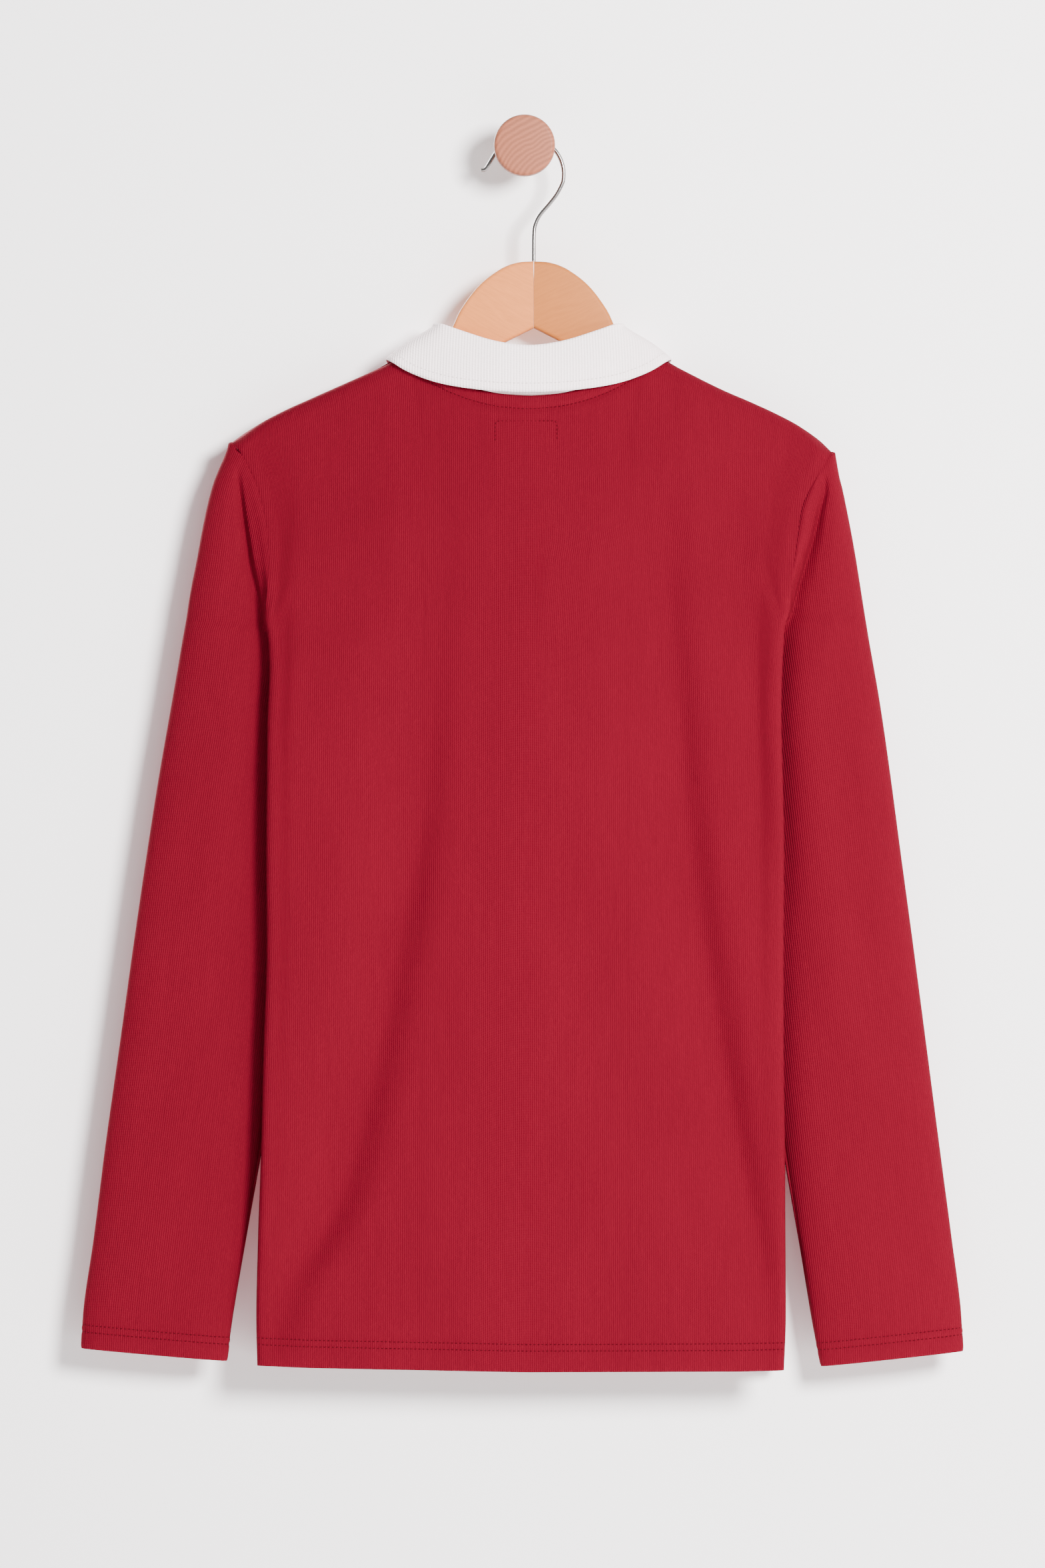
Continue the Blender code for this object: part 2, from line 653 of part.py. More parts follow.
def finish_plate(name, work, material, bevel=0.0):
    """Makes the plate an object. A bevel rounds its front and back edges, not those across the mitre."""
    mesh = bpy.data.meshes.new(name)
    work.to_mesh(mesh)
    work.free()
    mesh.materials.append(material)
    mesh.shade_smooth()
    mesh.set_sharp_from_angle(angle=math.radians(40))
    made = bpy.data.objects.new(name, mesh)
    bpy.context.collection.objects.link(made)
    if bevel:
        ends = np.array([[mesh.vertices[i].co for i in edge.vertices] for edge in mesh.edges]) / MM
        along_face = np.abs(ends[:, 0, 1] - ends[:, 1, 1]) < 0.01
        off_mitre = np.abs(ends[:, :, 0].mean(axis=1) - HANGER_MIDDLE) > SEAM_GAP
        weights = mesh.attributes.new("bevel_weight_edge", "FLOAT", "EDGE")
        weights.data.foreach_set("value", (along_face & off_mitre).astype(np.float32))
        rounding = made.modifiers.new("round edges", "BEVEL")
        rounding.width = bevel * MM
        rounding.segments = 2
        rounding.limit_method = "WEIGHT"
    return made


def arm_outline(sign):
    """A hanger arm: its top from the middle out to its end, then its underside back."""
    first = [(out, z) for out, z in zip(ARM_TOP["out"], ARM_TOP["z"])]
    outer = np.linspace(ARM_FOLLOWS_SHOULDER_FROM, HANGER_HALF_LENGTH - 11, 9)
    top = shoulder_line(HANGER_MIDDLE + sign * outer) - ARM_UNDER_CLOTH
    end_top = top[-1]
    end = [
        (HANGER_HALF_LENGTH - 4, end_top - 5.2),
        (HANGER_HALF_LENGTH, end_top - 11.0),
        (HANGER_HALF_LENGTH - 1, end_top - 18.0),
    ]
    under = [(out, z) for out, z in zip(ARM_UNDER["out"], ARM_UNDER["z"])][::-1]
    points = first + list(zip(outer, top)) + end + under
    gap = SEAM_GAP / 2
    return [(HANGER_MIDDLE + sign * max(out, gap), z) for out, z in points]


def build_hanger(wood, steel):
    for side, sign in (("left", -1), ("right", 1)):
        half = ARM_THICK / 2
        work = plate(arm_outline(sign), HANGER_PLANE - half, HANGER_PLANE + half)
        finish_plate(f"hanger_arm_{side}", work, wood, ARM_BEVEL)
    tail = np.stack([HOOK_TAIL["x"], HOOK_TAIL["z"]], axis=1)
    angles = np.radians(np.linspace(*HOOK_ARC, 15))
    arc = np.stack([np.cos(angles), np.sin(angles)], axis=1) * HOOK_RADIUS + HOOK_CENTRE
    stem = np.stack([HOOK_STEM["x"], HOOK_STEM["z"]], axis=1)
    route = smooth_rows(np.concatenate([tail, arc, stem[:-1]]), 2)
    route = np.concatenate([route, stem[-1:]])
    curve = bpy.data.curves.new("hanger_hook", "CURVE")
    curve.dimensions = "3D"
    curve.bevel_depth = WIRE / 2 * MM
    curve.bevel_resolution = 1
    curve.use_fill_caps = True
    spline = curve.splines.new("POLY")
    spline.points.add(len(route) - 1)
    for point, (x, z) in zip(spline.points, route):
        point.co = (x * MM, HANGER_PLANE * MM, z * MM, 1)
    curve.materials.append(steel)
    bpy.context.collection.objects.link(bpy.data.objects.new("hanger_hook", curve))


def build_peg(wood):
    """The peg, turned round the Y axis: its neck from the wall, then its round head."""
    shoulder = PEG_LENGTH - PEG_HEAD
    corner = PEG_RADIUS - PEG_EDGE
    turns = [math.radians(angle) for angle in (0, 30, 60, 90)]
    rise = [(corner + PEG_EDGE * math.sin(a), shoulder + PEG_EDGE * (1 - math.cos(a))) for a in turns]
    crown = [(corner + PEG_EDGE * math.cos(a), PEG_LENGTH - PEG_EDGE * (1 - math.sin(a))) for a in turns]
    profile = [(0, 0), (PEG_NECK_RADIUS, 0), (PEG_NECK_RADIUS, shoulder)] + rise + crown
    profile += [(0, PEG_LENGTH)]
    work = bmesh.new()
    verts = [work.verts.new((radius * MM, -depth * MM, 0)) for radius, depth in profile]
    edges = [work.edges.new(pair) for pair in zip(verts, verts[1:])]
    bmesh.ops.spin(
        work, geom=verts + edges, axis=(0, 1, 0), cent=(0, 0, 0), angle=math.tau, steps=32,
        use_merge=True,
    )
    bmesh.ops.remove_doubles(work, verts=work.verts, dist=1e-6)
    bmesh.ops.recalc_face_normals(work, faces=work.faces)
    finish_plate("wall_peg", work, wood)


def box(work, centre, size):
    made = bmesh.ops.create_cube(work, size=1)
    bmesh.ops.scale(work, verts=made["verts"], vec=[side * MM for side in size])
    bmesh.ops.translate(work, verts=made["verts"], vec=[value * MM for value in centre])


def build_zip_metal(nickel):
    """The slider with its bridge, and the pull that hangs on the bridge and turns about X."""
    low = stand_out("front", NECK_CENTRE, SLIDER_TOP) - CLOTH - SEAM_GAP + 0.5
    high = low + SLIDER["thick"]
    middle = SLIDER_TOP - SLIDER["height"] / 2
    half, leg = SLIDER["width"] / 2, BRIDGE["height"] / 2
    foot = SLIDER_TOP - SLIDER["height"]
    body = [
        (-half, SLIDER_TOP), (half, SLIDER_TOP), (half, middle), (half * 0.7, foot),
        (-half * 0.7, foot), (-half, middle),
    ]
    body = [(NECK_CENTRE + x, z) for x, z in body]
    made = finish_plate(
        "zip_slider", plate(body, HANGER_PLANE + low, HANGER_PLANE + high), nickel
    )
    bridge = bmesh.new()
    strap = BRIDGE["thick"]
    crown = high + BRIDGE["room"]
    for end in (-1, 1):
        centre = (
            NECK_CENTRE, HANGER_PLANE + (high - 0.5 + crown) / 2, middle + end * (leg - strap / 2),
        )
        box(bridge, centre, (BRIDGE["width"], crown - high + 0.5, strap))
    top = (NECK_CENTRE, HANGER_PLANE + crown + strap / 2 - 0.1, middle)
    box(bridge, top, (BRIDGE["width"], strap, 2 * leg))
    join_parts(made, bridge)
    axis = HANGER_PLANE + high + BRIDGE["room"] / 2
    eye, wide, bar = PULL["eye"] / 2, PULL["width"] / 2, PULL["bar"]
    pull = bmesh.new()
    box(pull, (NECK_CENTRE, axis, middle), (2 * wide, bar, bar))
    for end in (-1, 1):
        centre = (NECK_CENTRE + end * (eye + wide) / 2, axis, middle - PULL_FROM_AXIS / 2)
        box(pull, centre, (wide - eye, bar, PULL_FROM_AXIS + bar))
    tab = bmesh.new()
    length = PULL["length"] - PULL_FROM_AXIS
    tab_middle = (NECK_CENTRE, axis, middle - PULL_FROM_AXIS - length / 2)
    box(tab, tab_middle, (2 * wide, PULL["thick"], length))
    join_parts(finish_plate("zip_pull", tab, nickel), pull)


def join_parts(target, work):
    """Adds each box in work to the target object with an exact Boolean union."""
    mesh = bpy.data.meshes.new("tool")
    work.to_mesh(mesh)
    work.free()
    tool = bpy.data.objects.new("tool", mesh)
    bpy.context.collection.objects.link(tool)
    tool.hide_render = True
    tool.display_type = "WIRE"
    union = target.modifiers.new("join", "BOOLEAN")
    union.operation = "UNION"
    union.object = tool
    union.use_self = True


def main():
    for old in list(bpy.data.objects):
        bpy.data.objects.remove(old)
    red = make_material("red knit", (0.38, 0.016, 0.034), 0.9)
    white = make_material("white rib", (0.82, 0.76, 0.76), 0.9)
    beech = make_material("beech", (0.78, 0.50, 0.35), 0.5)
    steel = make_material("polished steel", (0.60, 0.59, 0.57), 0.25, 1.0)
    build_cloth(red)
    build_collar(white)
    build_tapes(red)
    build_zip_metal(steel)
    build_hanger(beech, steel)
    build_peg(beech)


main()
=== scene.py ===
"""Looks of a red knit quarter-zip top on a wooden hanger, hung over a round wooden wall peg.

All tables are millimetres in the CAD frame, and points become metres when a mesh is made. Each
cloth sheet is a grid of points. A coarse grid holds the sections of the solid: a panel runs from
the neck to the side and round its tuck, and a sleeve runs round its flattened tube. The grid is
refined by curves through the sections that never overshoot them. Then, with x across and z up,
    stand-out = drape(depth below the shoulder) - sum of depth(z) * exp(-(x - line(z))^2 / width^2)
gives the long folds, each of which is gentle on its -X side and steep on its +X side. Narrow
grooves along the seams and stitch rows have the same bell form. The sheet's second side is its
first moved in by the cloth's thickness along the normals.
"""

import math

import bmesh
import bpy
import numpy as np
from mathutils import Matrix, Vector


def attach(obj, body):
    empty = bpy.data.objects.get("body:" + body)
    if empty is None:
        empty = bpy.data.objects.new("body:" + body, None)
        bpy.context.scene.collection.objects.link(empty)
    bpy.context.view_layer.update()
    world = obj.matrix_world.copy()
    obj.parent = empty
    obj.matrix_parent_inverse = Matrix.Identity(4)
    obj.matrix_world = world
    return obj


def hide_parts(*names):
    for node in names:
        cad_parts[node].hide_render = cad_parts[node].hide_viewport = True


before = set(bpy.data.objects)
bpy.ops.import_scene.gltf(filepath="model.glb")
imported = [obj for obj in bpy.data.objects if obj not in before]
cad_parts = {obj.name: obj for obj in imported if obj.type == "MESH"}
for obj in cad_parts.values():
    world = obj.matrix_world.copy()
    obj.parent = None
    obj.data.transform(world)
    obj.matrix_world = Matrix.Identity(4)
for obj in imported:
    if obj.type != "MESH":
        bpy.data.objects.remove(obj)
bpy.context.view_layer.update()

MM = 0.001

CLOTH = 1.5
RIB = 1.8
TAPE = 1.0
SEAM_GAP = 0.01
MITRE_GAP = 0.3
HANGER_PLANE = -30.0
# The sides as directions along X, and the faces as directions along Y.
SIGN = {"left": -1, "right": 1}
TOWARD = {"back": -1, "front": 1}

NECK_CENTRE = 3.0
NECK_HALF_WIDTH = 86.0
NECK_HIGH = -147.0
BACK_NECK_LOW = -176.2
FRONT_NECK_LOW = -226.5

ZIP_HALF_SLIT = 4.5
TAPE_REACH = 10.0

# A section's sides: the round of a sleeve's edge, the body's fold and its room to the sleeve, the
# reach of the side columns above the crossing row, the crease past the fold, the turn of the ridge
# beside it, and the distance over which the shoulder's tip becomes a section like the others.
ROUND_POWER = 2.6
FOLD_RADIUS = 4.5
FLAP_CLEARANCE = 0.6
SIDE_REACH = 6.3
CREASE = {"past_fold": 2.5, "share": 0.35}
RIDGE_TURN = 0.87
TIP_BLEND = 12.0

# The depth below the shoulder line from which the folds are whole, and how the grids are divided.
FOLD_FADE = 14.0
NECK_SPACING = (0.85, 0.955)
SIDE_CELLS = 7
GUSSET_CELLS = 4


def table(names, *rows):
    """A table with named columns: each name gives that column as an array."""
    return dict(zip(names.split(), np.array(rows, float).T))


def tables(names, **rows):
    """Several tables with the same named columns, each under its own name."""
    return {name: table(names, *each) for name, each in rows.items()}


def read(source, column, z):
    """The column's value at the height z, straight between rows."""
    order = np.argsort(source["z"])
    return np.interp(z, source["z"][order], source[column][order])


# The shoulder line, on top of the cloth. Between the neck points it is the line carried on.
SHOULDER = table(
    "x z",
    (-240, -222), (-206.7, -208.6), (-195.8, -200.6), (-182.5, -192.7), (-166.8, -184.8),
    (-140.3, -173.0), (-97.3, -153.9), (-83, -147.0), (0, -138), (89, -147.0), (101.9, -152.5),
    (136.1, -169.9), (172, -185.4), (199.6, -199.9), (205.6, -204.1), (217.1, -215.4), (240, -226),
)

HEM = table("x z", (-190, -859.3), (-150, -861), (0, -864), (150, -863.5), (190, -862.6))

# How far the cloth stands out from the hanger's plane, by the depth below the shoulder line.
DRAPE = table(
    "below back front",
    (0, 0.15, 0.15), (0.8, 4.5, 4.5), (3.5, 8.0, 8.0), (9, 9.7, 9.7), (22, 11.2, 10.8),
    (60, 15.5, 11.8), (120, 24.0, 13.8), (190, 29.0, 15.6), (260, 31.0, 17.0), (800, 31.0, 17.0),
)

# Sections down each side, as distances out from X = 0. The seam is the armhole seam, then from
# the underarm the side seam at the bottom of the side tuck. The fold is the body's outer edge and,
# above the armhole, the crease beside it. The outer and inner columns are the sleeve's two edges.
BODY = tables(
    "z seam fold outer inner",
    left=[
        (-208.6, 206.7, 207.0, 207.8, 206.7), (-209.4, 206.1, 206.8, 209.4, 206.1),
        (-212.1, 204.0, 205.6, 210.0, 204.0), (-217.5, 199.8, 203.5, 211.8, 199.8),
        (-226, 195.2, 201.5, 215.5, 195.2), (-238, 189.6, 199.4, 220.2, 189.6),
        (-252, 185.4, 197.6, 224.0, 185.4), (-270, 181.7, 195.0, 227.8, 181.7),
        (-292, 180.4, 191.6, 231.8, 180.4), (-315, 181.3, 186.6, 236.3, 181.3),
        (-335, 182.4, 182.8, 239.4, 182.4), (-343, 176.8, 181.3, 240.8, 176.8),
        (-352, 167.0, 180.2, 242.4, 167.0), (-368, 152.0, 179.5, 245.1, 152.0),
        (-386, 140.0, 180.0, 248.2, 140.0), (-403, 132.5, 180.8, 251.2, 133.0),
        (-445, 134.5, 181.3, 258.5, 140.5), (-500, 137.0, 181.7, 267.1, 149.9),
        (-565, 140.0, 181.4, 276.6, 160.9), (-635, 142.5, 183.5, 286.3, 172.8),
        (-705, 144.0, 185.2, 296.2, 184.9), (-770, 145.5, 187.6, 304.4, 196.5),
        (-825, 147.0, 188.8, 312.1, 206.0), (-861, 148.0, 188.1, 314.0, 210.6),
    ],
    right=[
        (-215.4, 217.1, 217.4, 218.2, 217.1), (-216.2, 216.7, 217.3, 219.9, 216.7),
        (-218.9, 215.3, 216.4, 220.3, 215.3), (-224, 212.2, 214.8, 221.2, 212.2),
        (-232, 207.3, 212.5, 222.6, 207.3), (-243, 201.0, 210.0, 225.3, 201.0),
        (-256, 195.5, 206.8, 228.0, 195.5), (-272, 192.9, 203.3, 231.1, 192.9),
        (-292, 190.3, 197.5, 234.6, 190.3), (-313, 187.9, 191.2, 237.9, 187.9),
        (-329, 186.6, 187.0, 240.4, 186.6), (-337, 179.9, 184.4, 241.7, 179.9),
        (-348, 168.0, 182.9, 243.5, 168.0), (-366, 153.0, 181.8, 246.7, 153.0),
        (-386, 140.5, 181.1, 250.2, 140.5), (-403, 133.0, 180.9, 252.9, 133.5),
        (-445, 135.0, 181.8, 258.9, 139.5), (-500, 137.5, 182.8, 266.2, 147.2),
        (-565, 140.0, 182.4, 275.0, 158.0), (-635, 142.5, 182.5, 284.2, 169.7),
        (-705, 144.0, 183.3, 293.3, 181.8), (-770, 145.5, 183.7, 301.9, 193.4),
        (-825, 147.0, 184.0, 308.8, 202.0), (-861, 148.0, 182.6, 310.7, 209.6),
    ],
)
CROSSING_ROW = 10
UNDERARM_ROW = 15
ZIP_END_ROW = 14
CUFF = {"left": -849.0, "right": -851.0}
CUFF_DROP = {"left": 9.0, "right": 10.8}
CUFF_DROP_FROM = -430.0

# The sleeve: how far its back, its front and its outer edge stand out from the hanger's plane
# towards the back, and how deep the crease beside the armhole is.
SLEEVE = table(
    "z back front mid crease",
    (-208, 1.5, -1.5, 0, 0), (-212, 8.0, -8.0, 0, 0), (-218, 10.0, -9.0, 0, 0),
    (-226, 11.2, -9.0, 0.3, 0), (-238, 12.6, -8.8, 0.8, 2.0), (-252, 14.0, -8.5, 1.5, 3.5),
    (-270, 15.4, -8.2, 2.2, 4.0), (-300, 16.0, -8.0, 3.2, 3.0), (-335, 16.0, -8.0, 4.0, 1.5),
    (-350, 16.0, -8.0, 4.0, 0), (-780, 15.0, -7.0, 4.0, 0), (-861, 12.5, -4.5, 4.0, 0),
)

# Each long fold is a valley: its line down the panel, its depth, and its width on either side. The
# back also has a soft hump down its middle, which is a valley of less than no depth.
BACK_FOLDS = tables(
    "z x depth gentle steep",
    left=[
        (-215, -60, 0, 30, 15), (-300, -62, 1.8, 31, 15), (-391, -66.7, 3.4, 32, 15),
        (-462, -73, 5.0, 33, 15), (-556, -88, 6.6, 34, 15), (-650, -107, 7.4, 34, 16),
        (-744, -132, 7.6, 32, 16), (-814, -168, 4.6, 20, 15), (-862, -178, 0, 10, 10),
    ],
    right=[
        (-225, 100, 0, 30, 14), (-270, 99.5, 2.8, 31, 14), (-320, 100, 4.4, 32, 14),
        (-391, 106, 6.0, 33, 14), (-462, 111.5, 7.0, 33, 14), (-556, 123.5, 7.6, 33, 14),
        (-650, 139, 7.8, 30, 13), (-744, 157, 6.2, 26, 11), (-814, 170, 3.2, 20, 10),
        (-862, 175, 0, 10, 8),
    ],
    edge=[
        (-230, 145, 0, 20, 12), (-300, 153, 2.0, 22, 12), (-391, 162, 2.5, 20, 10),
        (-470, 168, 1.5, 16, 8), (-510, 171, 0, 12, 8),
    ],
    hump=[
        (-250, 4, 0, 30, 26), (-390, 4, -1.2, 30, 24), (-560, 2, -1.6, 32, 24),
        (-745, 5, -1.0, 32, 26), (-862, 6, 0, 30, 26),
    ],
)
FRONT_FOLDS = tables(
    "z x depth gentle steep",
    left=[
        (-300, -70, 0, 26, 20), (-500, -84, 3.0, 28, 20), (-700, -112, 3.0, 28, 20),
        (-862, -150, 0, 18, 14),
    ],
    right=[
        (-300, 78, 0, 20, 26), (-500, 92, 3.0, 20, 28), (-700, 118, 3.0, 20, 28),
        (-862, 150, 0, 14, 18),
    ],
)

# The collar from centre back to the front end, x out from the neck's middle and y out from the
# hanger's plane towards the back: the x of its foot on the neck seam, its fold and its lower edge.
COLLAR = table(
    "foot_x fold_x fold_y fold_z edge_x edge_y edge_z",
    (0, 0, 14.6, -141.1, 0, 19.0, -174.1), (29, 24, 14.2, -138.0, 32, 18.6, -172.7),
    (52, 46, 12.4, -131.2, 62, 16.8, -168.0), (73, 59.5, 10.4, -126.4, 84, 14.4, -160.2),
    (82, 63.8, 6.4, -125.4, 96.5, 11.4, -152.8), (85.5, 65.4, 0, -125.2, 101, 0, -150.4),
    (82, 63.8, -6.6, -126.6, 98, -11.8, -155.8), (73, 59.5, -10.8, -130.5, 92, -15.4, -167.0),
    (52, 48, -13.2, -150.0, 80, -18.2, -195.0), (28, 28, -15.6, -181.0, 66, -18.8, -228.0),
    (7, 9, -16.8, -210.0, 50, -19.2, -261.0),
)
COLLAR_FOOT_GAP = 1.0
COLLAR_TURN = (0.7, 0.3)
COLLAR_HANG = {"down": 0.45, "out": 1.0}
COLLAR_STEPS = 3
COLLAR_FOLD_RADIUS = 2.2

# The hanger's arms, out from its middle: the top, then the underside.
HANGER_MIDDLE = 6.5
HANGER_HALF_LENGTH = 195.0
ARM_THICK = 12.0
ARM_BEVEL = 2.6
ARM_UNDER_CLOTH = 4.9
ARM_TOP = table(
    "out z",
    (0, -81.0), (7, -81.2), (14.5, -82.6), (21.5, -85.3), (28.5, -89.6), (34, -93.7), (39, -98.3),
    (44, -104.1), (48, -109.6), (53, -117.4), (57, -126.4), (61, -134.8), (66, -141.0),
    (75, -150.0), (84, -155.2),
)
ARM_FOLLOWS_SHOULDER_FROM = 98.0
DOME_POINTS = 40
ARM_END_FROM = 11.0
ARM_END = ((4, 5.2), (0, 11.0), (1, 18.0))
ARM_UNDER = table("out z", (0, -128.0), (100, -178.5), (184, -218.5), (191, -219.5))

WIRE = 3.0
HOOK_CENTRE = (1.4, -19.0)
HOOK_RADIUS = 26.3
HOOK_TAIL = table("x z", (-30.6, -16.4), (-28.2, -16.0), (-26.2, -13.9))
HOOK_ARC = (152.0, -8.0)
HOOK_STEM = table(
    "x z",
    (26.4, -26.4), (22.6, -33.6), (17.2, -40.6), (11.4, -47.4), (8.1, -53.4), (6.7, -60.5),
    (6.5, -80.7),
)

PEG_NECK_RADIUS = 5.5
PEG_RADIUS = 21.6
PEG_LENGTH = 50.0
PEG_HEAD = 14.0
PEG_EDGE = 3.0

TAPE_TOP = FRONT_NECK_LOW - 2.0
TAPE_FOOT = -404.0
# The teeth reach up to the slider. A tooth is this long, wide and thick.
TEETH = {"foot": -402.0, "top": -246.0, "pitch": 1.25, "off_middle": 1.1, "out": 0.45}
TOOTH = (3.6, 1.7, 1.5)

# The stage, in metres and watts. Both key lights and the zip side's light look at the middle.
WALL_FACE = 0.0008
FLOOR_TOP = -1.3
MIDDLE = (0, -0.03, -0.45)
KEY = {"at": (1.35, -2.75, 0.42), "size": 0.9, "colour": (1.0, 0.985, 0.975)}
KEY_POWER = 158
PALE_KEY_POWER = 240
ZIP_SIDE = {"at": (-1.2, 2.2, 0.6), "size": 1.4}
ZIP_SIDE_POWER = 200
DAYLIGHT = {"colour": (1.0, 0.99, 0.985, 1), "strength": 0.38}
CAMERA = {"at": (-0.0014, -5.045, -0.4504), "lens": 162.8, "sensor": 36}

# The faces of a small bar with six corners.
SPINDLE = np.array(
    [(0, 1, 4), (1, 2, 4), (2, 3, 4), (3, 0, 4), (1, 0, 5), (2, 1, 5), (3, 2, 5), (0, 3, 5)]
)


def pchip(knots, values, at):
    """Values on a smooth curve through the knots that never overshoots them."""
    knots, at = np.asarray(knots, float), np.asarray(at, float)
    step = np.diff(knots)
    wide = (-1,) + (1,) * (values.ndim - 1)
    slope = np.diff(values, axis=0) / step.reshape(wide)
    before, after = slope[:-1], slope[1:]
    first = (2 * step[1:] + step[:-1]).reshape(wide)
    second = (step[1:] + 2 * step[:-1]).reshape(wide)
    agree = before * after > 0
    safe_before, safe_after = np.where(agree, before, 1), np.where(agree, after, 1)
    mean = (first + second) / (first / safe_before + second / safe_after)
    tangent = np.concatenate([slope[:1], np.where(agree, mean, 0), slope[-1:]])
    cell = np.clip(np.searchsorted(knots, at, "right") - 1, 0, len(step) - 1)
    size = step[cell].reshape(wide)
    t = ((at - knots[cell]) / step[cell]).reshape(wide)
    start, end = values[cell], values[cell + 1]
    return (
        start * (1 + 2 * t) * (1 - t) ** 2 + end * t**2 * (3 - 2 * t)
        + tangent[cell] * size * t * (1 - t) ** 2 + tangent[cell + 1] * size * t**2 * (t - 1)
    )


def smooth_read(source, column, at, by="z"):
    """The column's value on a smooth curve through the table's rows, held at its ends."""
    order = np.argsort(source[by])
    knots = source[by][order]
    flat = np.clip(np.ravel(at), knots[0], knots[-1])
    return pchip(knots, source[column][order], flat).reshape(np.shape(at))


def shoulder_line(x):
    return np.interp(x, SHOULDER["x"], SHOULDER["z"])


def fold_fade(x, z):
    """The share of their depth that the folds have: none at the shoulder line, and soon all."""
    return np.clip((shoulder_line(x) - z) / FOLD_FADE, 0, 1)


def top_edge(face, x):
    """A panel's top edge: the shoulder line, and the neck curve between the neck points."""
    share = np.clip(np.abs(x - NECK_CENTRE) / NECK_HALF_WIDTH, 0, 1)
    low = BACK_NECK_LOW if face == "back" else FRONT_NECK_LOW
    neck = low + (NECK_HIGH - low) * share**2.1
    return np.where(share < 1, neck, shoulder_line(x))


def fold_depth(folds, x, z):
    """The depth of the long folds: each is a bell across its line, gentle on -X and steep on +X."""
    depth = np.zeros(np.broadcast(x, z).shape)
    for fold in folds.values():
        away = x - smooth_read(fold, "x", z)
        gentle = smooth_read(fold, "gentle", z)
        width = np.where(away < 0, gentle, smooth_read(fold, "steep", z))
        depth = depth + smooth_read(fold, "depth", z) * np.exp(-((away / width) ** 2))
    return depth


def stand_out(face, x, z):
    """How far a panel's outside stands out from the hanger's plane at (x, z), without its folds."""
    return np.interp(shoulder_line(x) - z, DRAPE["below"], DRAPE[face])


def sleeve_level(face, z):
    """How far the sleeve's flat stands out on a face, and its outer edge, both outwards there."""
    sign = -TOWARD[face]
    return sign * read(SLEEVE, face, z), sign * read(SLEEVE, "mid", z)


